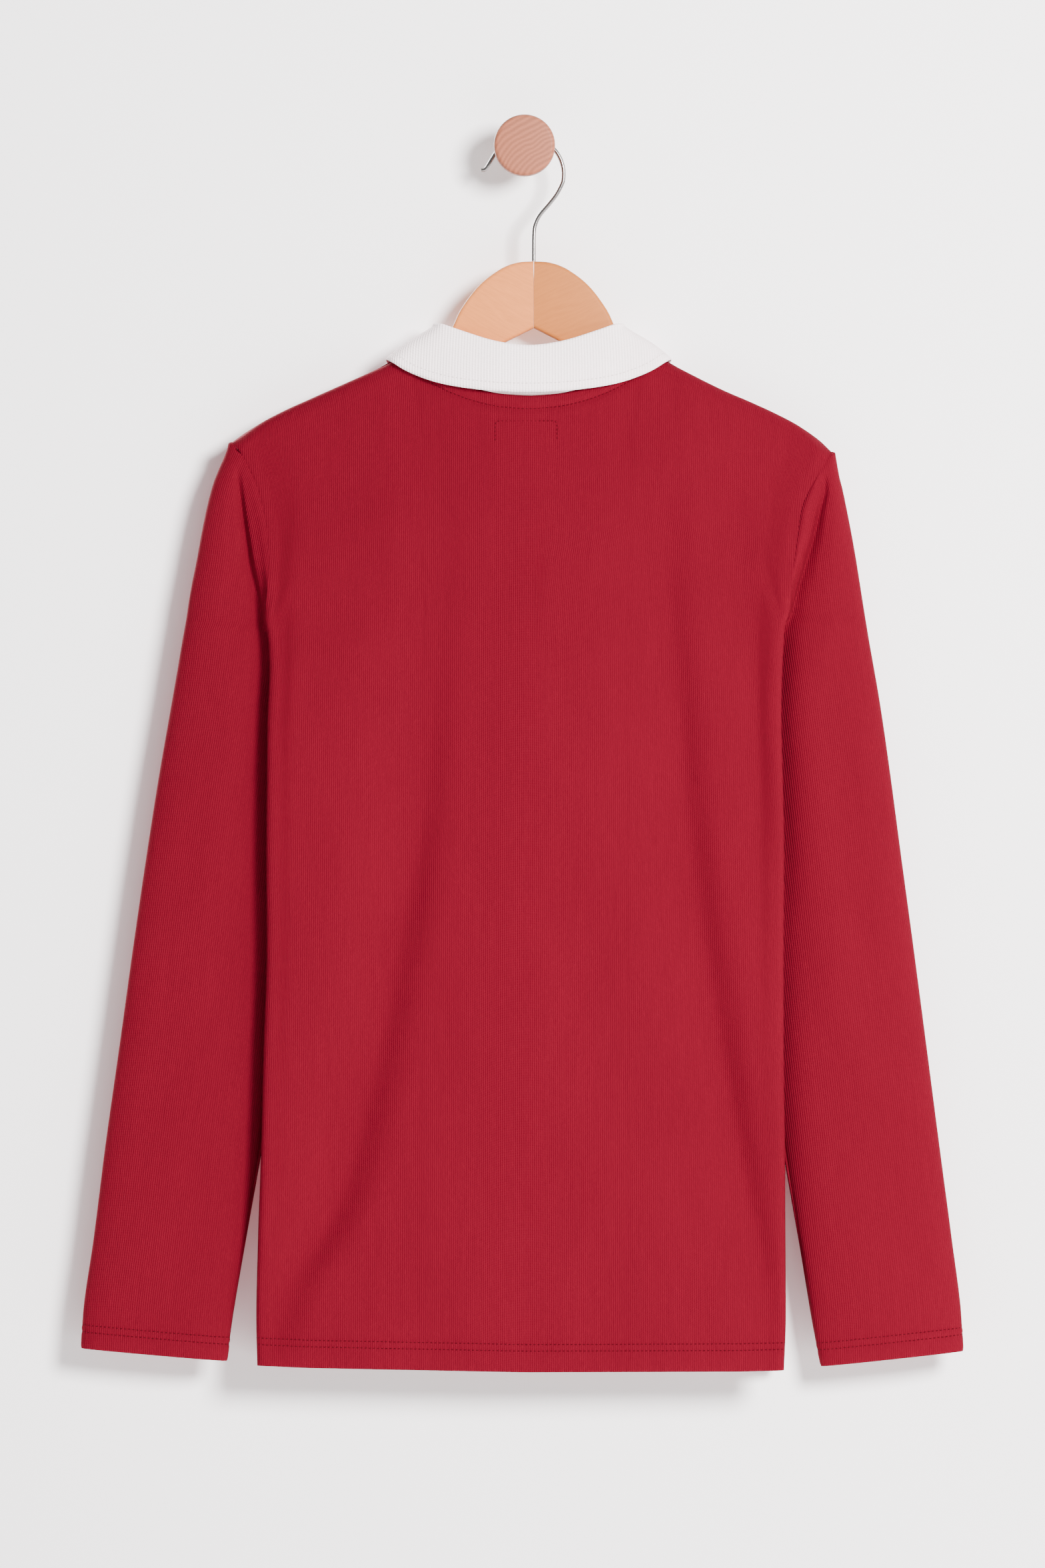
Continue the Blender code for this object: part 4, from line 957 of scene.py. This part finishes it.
def solid_bars(name, centres, along, across, out, sizes, material):
    """Many small bars in one mesh: each a six-cornered spindle, long along and thin across."""
    long, wide, high = (np.asarray(size, float) / 2 for size in sizes)
    a, b, c = along * long, across * wide, out * high
    corners = np.stack([-a, b, a, -b, c, -c], axis=1) + centres[:, None]
    every = (np.arange(len(centres))[:, None, None] * 6 + SPINDLE).reshape(-1, 3)
    return new_mesh(name, corners.reshape(-1, 3), every, material)


def row_points(grid, normals, distance, target):
    """Where each column reaches the target distance: the points and their outward normals."""
    below = np.clip(np.argmax(distance <= target, axis=0), 1, len(grid) - 1)
    columns = np.arange(grid.shape[1])
    first, second = distance[below - 1, columns], distance[below, columns]
    share = ((first - target) / (first - second + 1e-9))[:, None]
    return tuple(
        values[below - 1, columns] * (1 - share) + values[below, columns] * share
        for values in (grid, normals)
    )


def stitches_along(path, normal):
    """Evenly spaced places on a path: centres, directions along, across and out of the cloth."""
    length = running_length(path, 0)
    at = np.arange(STITCH["pitch"] / 2, length[-1], STITCH["pitch"])

    def sample(values, at):
        return np.stack([np.interp(at, length, values[:, i]) for i in range(3)], axis=1)

    along = unit(sample(path, at + 0.4) - sample(path, at - 0.4))
    out = sample(normal, at)
    out = unit(out - along * (out * along).sum(axis=1, keepdims=True))
    return sample(path, at), along, np.cross(out, along), out


def label_path(grid, normals):
    """The stitching that holds a label inside the back: across its top and down both sides."""
    left, right, top, bottom, corner = LABEL.values()
    turn = np.radians(np.linspace(0, 90, 5))
    down = np.linspace(bottom, top - corner, 6)
    x = np.concatenate([np.full(6, left), left + corner * (1 - np.cos(turn))])
    z = np.concatenate([down, top - corner * (1 - np.sin(turn))])
    x = np.concatenate([x, left + right - x[::-1]])
    z = np.concatenate([z, z[::-1]])
    points = grid.reshape(-1, 3)
    away = (points[:, 0] - x[:, None]) ** 2 + (points[:, 2] - z[:, None]) ** 2
    near = np.argmin(away, axis=1)
    return np.stack([x, points[near, 1], z], axis=1), normals.reshape(-1, 3)[near]


def build_stitches(name, paths, material):
    placed = [np.concatenate(parts) for parts in zip(*(stitches_along(*path) for path in paths))]
    centres, along, across, out = placed
    sizes = (STITCH["length"], STITCH["width"], 2 * STITCH["height"])
    return solid_bars(name, centres + out * STITCH["out"], along, across, out, sizes, material)


def build_teeth(material):
    """The zip's teeth, by turns on the left and the right, from its foot up to the slider."""
    z = np.arange(TEETH["foot"], TEETH["top"], TEETH["pitch"])
    side = np.where(np.arange(len(z)) % 2, 1.0, -1.0)
    x = NECK_CENTRE + side * TEETH["off_middle"]
    folds = fold_depth(FRONT_FOLDS, x, z)
    y = HANGER_PLANE + stand_out("front", x, z) - folds - CLOTH - SEAM_GAP + TEETH["out"]
    along, across, out = (np.tile(axis, (len(z), 1)) for axis in np.eye(3)[[0, 2, 1]])
    return solid_bars("zip_teeth", np.stack([x, y, z], axis=1), along, across, out, TOOTH, material)


def build_arm(side, material):
    """A hanger arm: its outline as a plate, with its front and back edges rounded."""
    sign = SIGN[side]
    outline = np.array(arm_outline(sign))
    half = ARM_THICK / 2
    work = bmesh.new()
    flat = [work.verts.new((x * MM, (HANGER_PLANE - half) * MM, z * MM)) for x, z in outline]
    face = work.faces.new(flat)
    raised = bmesh.ops.extrude_face_region(work, geom=[face])["geom"]
    moved = [item for item in raised if isinstance(item, bmesh.types.BMVert)]
    bmesh.ops.translate(work, verts=moved, vec=(0, ARM_THICK * MM, 0))
    bmesh.ops.recalc_face_normals(work, faces=work.faces)
    mitre = HANGER_MIDDLE * MM
    edges = [
        edge for edge in work.edges
        if abs(edge.verts[0].co.y - edge.verts[1].co.y) < 1e-6
        and abs((edge.verts[0].co.x + edge.verts[1].co.x) / 2 - mitre) > MITRE_GAP * MM
    ]
    round_off = {"segments": 5, "profile": 0.5, "affect": "EDGES", "clamp_overlap": True}
    bmesh.ops.bevel(work, geom=edges, offset=ARM_BEVEL * MM, **round_off)
    return bmesh_object(f"arm_{side}_wood", work, material, 35)


def bmesh_object(name, work, material, sharp):
    mesh = bpy.data.meshes.new(name)
    work.to_mesh(mesh)
    work.free()
    mesh.shade_smooth()
    mesh.set_sharp_from_angle(angle=math.radians(sharp))
    mesh.materials.append(material)
    return place(name, mesh)


def build_hook(material):
    """The hook's round wire along the same line as the solid's, as a tube of rings."""
    tail, stem = (np.stack([part["x"], part["z"]], axis=1) for part in (HOOK_TAIL, HOOK_STEM))
    angles = np.radians(np.linspace(*HOOK_ARC, 15))
    arc = np.stack([np.cos(angles), np.sin(angles)], axis=1) * HOOK_RADIUS + HOOK_CENTRE
    line = smooth_rows(np.concatenate([tail, arc, stem]), 6)
    along = np.gradient(line, axis=0)
    along /= np.linalg.norm(along, axis=1, keepdims=True)
    out = np.stack([along[:, 1], np.zeros(len(line)), -along[:, 0]], axis=1)[:, None]
    centre = np.stack([line[:, 0], np.full(len(line), HANGER_PLANE), line[:, 1]], axis=1)
    turn = np.linspace(0, math.tau, 20, endpoint=False)[None, :, None]
    round_wire = np.cos(turn) * out + np.sin(turn) * np.array([0, 1, 0])
    return tube("hook_wire", centre[:, None] + WIRE / 2 * round_wire, material, 50)


def tube(name, rings, material, sharp):
    """A closed body from rings of points, with a flat cap on each end."""
    count, sides = rings.shape[:2]
    index = np.arange(count * sides).reshape(count, sides)
    after = np.roll(index, -1, axis=1)
    faces = np.stack([index[:-1], after[:-1], after[1:], index[1:]], axis=2).reshape(-1, 4)
    caps = [index[0, ::-1].tolist(), index[-1].tolist()]
    mesh = bpy.data.meshes.new(name)
    mesh.from_pydata((rings.reshape(-1, 3) * MM).tolist(), [], faces.tolist() + caps)
    work = bmesh.new()
    work.from_mesh(mesh)
    bmesh.ops.recalc_face_normals(work, faces=work.faces)
    return bmesh_object(name, work, material, sharp)


def build_peg(material):
    """The peg, turned round the Y axis: its neck from the wall, then its round head."""
    shoulder, corner = PEG_LENGTH - PEG_HEAD, PEG_RADIUS - PEG_EDGE
    angle = np.linspace(0, math.pi / 2, 8)
    wide, deep = PEG_EDGE * np.sin(angle), PEG_EDGE * (1 - np.cos(angle))
    rise = np.stack([corner + wide, shoulder + deep], 1)
    crown = np.stack([corner + PEG_EDGE * np.cos(angle), PEG_LENGTH - PEG_EDGE + wide], 1)
    neck = np.array([(PEG_NECK_RADIUS, 0.0), (PEG_NECK_RADIUS, shoulder)])
    radius, depth = np.concatenate([neck, rise, crown]).T[:, :, None]
    turn = np.linspace(0, math.tau, 72, endpoint=False)
    y = np.repeat(-depth, len(turn), axis=1)
    rings = np.stack([radius * np.cos(turn), y, radius * np.sin(turn)], axis=2)
    return tube("peg_wood", rings, material, 40)


def linear(red, green, blue):
    """A screen colour of 0 to 255 as linear light."""
    value = np.array([red, green, blue]) / 255
    return tuple(np.where(value <= 0.04045, value / 12.92, ((value + 0.055) / 1.055) ** 2.4)) + (1,)


class Nodes:
    """A material's node tree, with short calls to add and link nodes."""

    def __init__(self, name, colour, roughness, metallic=0.0, sheen=0.0, shine=0.5):
        self.material = bpy.data.materials.new(name)
        self.material.use_nodes = True
        self.tree = self.material.node_tree
        self.shader = self.tree.nodes["Principled BSDF"]
        self.shader.inputs["Base Color"].default_value = colour
        self.shader.inputs["Roughness"].default_value = roughness
        self.shader.inputs["Metallic"].default_value = metallic
        self.shader.inputs["Sheen Weight"].default_value = sheen
        self.shader.inputs["Specular IOR Level"].default_value = shine
        self.shader.inputs["Sheen Roughness"].default_value = 0.5

    def add(self, kind, settings=None, **inputs):
        node = self.tree.nodes.new(kind)
        for key, value in (settings or {}).items():
            setattr(node, key, value)
        for key, value in inputs.items():
            self.put(node.inputs[key.replace("_", " ")], value)
        return node

    def put(self, socket, value):
        if isinstance(value, bpy.types.NodeSocket):
            self.tree.links.new(value, socket)
        else:
            socket.default_value = value

    def math(self, operation, *values):
        node = self.tree.nodes.new("ShaderNodeMath")
        node.operation = operation
        for socket, value in zip(node.inputs, values):
            self.put(socket, value)
        return node.outputs[0]

    def noise(self, vector, scale, detail=2.0, rough=0.5):
        node = self.add(
            "ShaderNodeTexNoise", Vector=vector, Scale=scale, Detail=detail, Roughness=rough
        )
        return node.outputs["Fac"]

    def stretched(self, vector, x, y, z):
        node = self.add("ShaderNodeVectorMath", {"operation": "MULTIPLY"})
        self.put(node.inputs[0], vector)
        self.put(node.inputs[1], (x, y, z))
        return node.outputs[0]

    def grain(self, vector, stretch, detail, rough=0.5):
        """Noise with this many cells a metre along each axis."""
        return self.noise(self.stretched(vector, *stretch), 1.0, detail, rough)

    def tint(self, colour, factor):
        """Makes the shader's colour this one, made brighter or darker by a factor."""
        scaled = {"operation": "SCALE"}
        node = self.add("ShaderNodeVectorMath", scaled, Vector=colour[:3], Scale=factor)
        self.put(self.shader.inputs["Base Color"], node.outputs[0])

    def bump(self, height, depth, strength=1.0):
        node = self.add("ShaderNodeBump", Strength=strength, Distance=depth, Height=height)
        self.put(self.shader.inputs["Normal"], node.outputs[0])


def wave(nodes, along, pitch):
    """A sine of -1 to 1 that repeats every pitch metres along a distance."""
    return nodes.math("SINE", nodes.math("MULTIPLY", along, math.tau / pitch))


def knit_material(name, colour, pitch, rib, streaks, sheen):
    """Knitted ribs down the cloth, with painted shade in their valleys, uneven rows of loops,
    streaks and a faint fleck.
    """
    nodes = Nodes(name, colour, 0.88, sheen=sheen, shine=0.03)
    uv = nodes.add("ShaderNodeUVMap", {"uv_map": "Knit"}).outputs["UV"]
    split = nodes.add("ShaderNodeSeparateXYZ", Vector=uv)
    across, down = split.outputs["X"], split.outputs["Y"]
    ribs = wave(nodes, across, pitch)
    loops = wave(nodes, down, pitch * 0.8)
    slub = nodes.grain(uv, (90, 900, 1), 3)
    streak = nodes.grain(uv, (420, 22, 1), 3, 0.6)
    fleck = nodes.grain(uv, (1400, 900, 1), 1)
    cloud = nodes.grain(uv, (22, 9, 1), 2)
    # Painted shade: the rib wave that raises the bump also makes the cloth darker between the ribs
    # and lighter on their crests.
    tone = nodes.math("MULTIPLY_ADD", ribs, rib, 1.0)
    amounts = (streaks, streaks * 1.3, streaks, 0.08)
    for source, amount in zip((slub, streak, fleck, cloud), amounts):
        centred = nodes.math("SUBTRACT", source, 0.5)
        tone = nodes.math("MULTIPLY_ADD", centred, amount * 2, tone)
    nodes.tint(colour, tone)
    height = nodes.math("MULTIPLY_ADD", loops, 0.3, ribs)
    height = nodes.math("MULTIPLY_ADD", fleck, 1.2, height)
    nodes.bump(height, 0.00016, 0.8)
    nodes.put(nodes.shader.inputs["Sheen Tint"], colour)
    return nodes.material


def thread_material(name, colour):
    nodes = Nodes(name, colour, 0.75, shine=0.05)
    place = nodes.add("ShaderNodeTexCoord").outputs["Object"]
    tone = nodes.math("MULTIPLY_ADD", nodes.noise(place, 700.0), 0.3, 0.85)
    nodes.tint(colour, tone)
    return nodes.material


def grain_material(name, colour, turn, rings=None, strength=0.03):
    """Fine wood. Its grain runs along X turned by the angle, or round a far centre as end grain."""
    nodes = Nodes(name, colour, 0.48, shine=0.12)
    place = nodes.add("ShaderNodeTexCoord").outputs["Object"]
    rotate = nodes.add("ShaderNodeMapping", Vector=place, Rotation=(0, turn, 0)).outputs[0]
    if rings:
        split = nodes.add("ShaderNodeSeparateXYZ", Vector=place)
        x = nodes.math("SUBTRACT", split.outputs["X"], rings[0])
        z = nodes.math("SUBTRACT", split.outputs["Z"], rings[1])
        x_squared, z_squared = (nodes.math("MULTIPLY", axis, axis) for axis in (x, z))
        away = nodes.math("SQRT", nodes.math("ADD", x_squared, z_squared))
        warp = nodes.math("MULTIPLY", nodes.noise(place, 38.0), 0.009)
        bands = wave(nodes, nodes.math("ADD", away, warp), rings[2])
        pores = nodes.grain(place, (900, 900, 900), 1)
    else:
        warp = nodes.grain(rotate, (9, 60, 60), 2)
        split = nodes.add("ShaderNodeSeparateXYZ", Vector=rotate)
        line = nodes.math("MULTIPLY_ADD", warp, 0.035, split.outputs["Z"])
        bands = wave(nodes, line, 0.0042)
        pores = nodes.grain(rotate, (120, 1500, 1500), 2)
    tone = nodes.math("MULTIPLY_ADD", bands, strength, 1.0)
    tone = nodes.math("MULTIPLY_ADD", nodes.math("SUBTRACT", pores, 0.5), 0.26, tone)
    nodes.tint(colour, tone)
    nodes.bump(pores, 0.00008, 0.5)
    return nodes.material


def metal_material(name, colour, roughness):
    nodes = Nodes(name, colour, roughness, metallic=1.0)
    place = nodes.add("ShaderNodeTexCoord").outputs["Object"]
    smear = nodes.grain(place, (160, 160, 900), 2)
    nodes.put(
        nodes.shader.inputs["Roughness"], nodes.math("MULTIPLY_ADD", smear, 0.12, roughness - 0.06)
    )
    return nodes.material


def wall_material():
    """A pale wall that is seen from its front only, so that the side towards it shows."""
    nodes = Nodes("pale wall", linear(243, 241, 242), 0.95)
    clear = nodes.add("ShaderNodeBsdfTransparent")
    facing = nodes.add("ShaderNodeNewGeometry").outputs["Backfacing"]
    mix = nodes.add("ShaderNodeMixShader", Fac=facing)
    nodes.put(mix.inputs[1], nodes.shader.outputs[0])
    nodes.put(mix.inputs[2], clear.outputs[0])
    output = nodes.tree.nodes["Material Output"]
    nodes.put(output.inputs["Surface"], mix.outputs[0])
    return nodes.material


def rectangle(left, right, low, high):
    return [(left, low), (right, low), (right, high), (left, high)]


def stage_plane(name, corners, material):
    corners = np.array(corners) / MM
    made = new_mesh(name, corners, np.arange(4)[None], material, smooth=False)
    return made


def area_light(name, power, at, size, colour=(1, 1, 1), only=None):
    """A round light that looks at the middle and lights every piece, or only some."""
    light = bpy.data.lights.new(name, "AREA")
    light.shape = "DISK"
    light.size = size
    light.energy = power
    light.color = colour
    made = place(name, light)
    made.location = at
    made.rotation_euler = (Vector(MIDDLE) - Vector(at)).to_track_quat("-Z", "Y").to_euler()
    if only:
        lit = bpy.data.collections.new(f"{name} receivers")
        for piece in only:
            lit.objects.link(piece)
        made.light_linking.receiver_collection = lit
    return made


def build_stage(pieces, pale_pieces):
    """The wall, the floor, the lights and the camera."""
    corners = [(x, WALL_FACE, z) for x, z in rectangle(-6, 6, FLOOR_TOP, 4)]
    wall = stage_plane("wall", corners, wall_material())
    floor_paint = Nodes("pale floor", linear(232, 230, 229), 0.9).material
    corners = [(x, y, FLOOR_TOP) for x, y in rectangle(-6, 6, -6, 3)]
    floor = stage_plane("floor", corners, floor_paint)
    area_light("key", KEY_POWER, **KEY)
    area_light("pale_key", PALE_KEY_POWER, **KEY, only=pale_pieces + [wall, floor])
    # The light for the zip's side stands behind the wall, which doesn't stop it.
    behind = area_light("zip_side", ZIP_SIDE_POWER, **ZIP_SIDE, only=pieces)
    behind.light_linking.blocker_collection = behind.light_linking.receiver_collection
    world = bpy.data.worlds.new("studio")
    world.use_nodes = True
    background = world.node_tree.nodes["Background"].inputs
    background["Color"].default_value = DAYLIGHT["colour"]
    background["Strength"].default_value = DAYLIGHT["strength"]
    bpy.context.scene.world = world
    camera = bpy.data.cameras.new("camera")
    camera.sensor_width = CAMERA["sensor"]
    camera.lens = CAMERA["lens"]
    placed = place("camera", camera)
    placed.location = CAMERA["at"]
    placed.rotation_euler = (math.pi / 2, 0, 0)
    bpy.context.scene.camera = placed


dressed = []


def dress(piece, slot, *nodes, body="top_on_hanger"):
    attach(piece, body)
    if nodes:
        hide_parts(*nodes)
    dressed.append(piece)
    return piece


def main():
    red = (0.167, 0.0048, 0.0162, 1)
    knit = knit_material("red fine rib knit", red, 0.0015, 0.07, 0.05, 0.03)
    rib = knit_material("white rib knit", (0.88, 0.77, 0.78, 1), 0.0021, 0.04, 0.02, 0.1)
    tape_red = (0.17, 0.006, 0.017, 1)
    tape_cloth = knit_material("red woven tape", tape_red, 0.0009, 0.06, 0.03, 0.02)
    # The stitches are real thread, but its red is painted about half as bright as the cloth's, as
    # shade for the grooves under the stitch rows.
    thread = thread_material("red thread with painted groove shade", (0.085, 0.002, 0.007, 1))
    white_thread = thread_material("white thread", (0.74, 0.66, 0.65, 1))
    steel = metal_material("polished steel", (0.26, 0.245, 0.24, 1), 0.2)
    zip_metal = metal_material("satin zip metal", (0.56, 0.55, 0.53, 1), 0.32)

    back, back_grid, back_normals, from_top = build_panel("back", knit)
    dress(back, "knit", "back_panel")
    front, front_grid, front_normals, _ = build_panel("front", knit)
    dress(front, "knit", "front_panel")
    paths = [
        row_points(grid, normals, edge_distance(grid, "last"), target)
        for grid, normals in ((back_grid, back_normals), (front_grid, front_normals))
        for target in HEM_ROWS
    ]
    points, outward = row_points(back_grid, back_normals, -from_top, -NECK_ROW)
    near = np.abs(points[:, 0] - NECK_CENTRE) < NECK_HALF_WIDTH - 1
    paths += [(points[near], outward[near]), label_path(back_grid, back_normals)]
    dress(build_stitches("body_stitches", paths, thread), "knit")
    for side in SIGN:
        piece, grid, normals = build_sleeve(side, knit)
        dress(piece, "knit", f"sleeve_{side}")
        from_cuff = edge_distance(grid, "last")
        paths = [row_points(grid, normals, from_cuff, target) for target in CUFF_ROWS]
        dress(build_stitches(f"cuff_stitches_{side}", paths, thread), "knit")
    collar, grid, normals = build_collar(rib)
    dress(collar, "rib", "collar")
    path = row_points(grid, normals, edge_distance(grid, "last"), COLLAR_ROW)
    collar_stitches = dress(build_stitches("collar_stitches", [path], white_thread), "rib")
    tapes = [dress(build_tape(side, tape_cloth), "tape", f"zip_tape_{side}") for side in SIGN]
    dress(build_teeth(zip_metal), "zip_metal")
    zip_parts = [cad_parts[name] for name in ("zip_slider", "zip_pull")]
    for node in zip_parts:
        node.data.materials.clear()
        node.data.materials.append(zip_metal)
    # One wood in two colours: the right arm's copy is darker and more orange than the left's, while
    # both arms lie flat in one plane.
    woods = {
        "left": grain_material("light wood left", (0.50, 0.160, 0.042, 1), math.radians(-27)),
        "right": grain_material("light wood right", (0.335, 0.105, 0.021, 1), math.radians(27)),
    }
    pale_pieces = [collar, collar_stitches]
    for side in SIGN:
        arm = build_arm(side, woods[side])
        pale_pieces.append(dress(arm, "hanger_wood", f"hanger_arm_{side}"))
    pale_pieces.append(dress(build_hook(steel), "hook_steel", "hanger_hook"))
    knob_brown, rings = (0.235, 0.080, 0.045, 1), (0.035, -0.045, 0.0034)
    end_grain = grain_material("knob wood", knob_brown, 0, rings, 0.16)
    pale_pieces.append(dress(build_peg(end_grain), "peg_wood", "wall_peg"))

    build_stage(dressed + zip_parts, pale_pieces)


main()
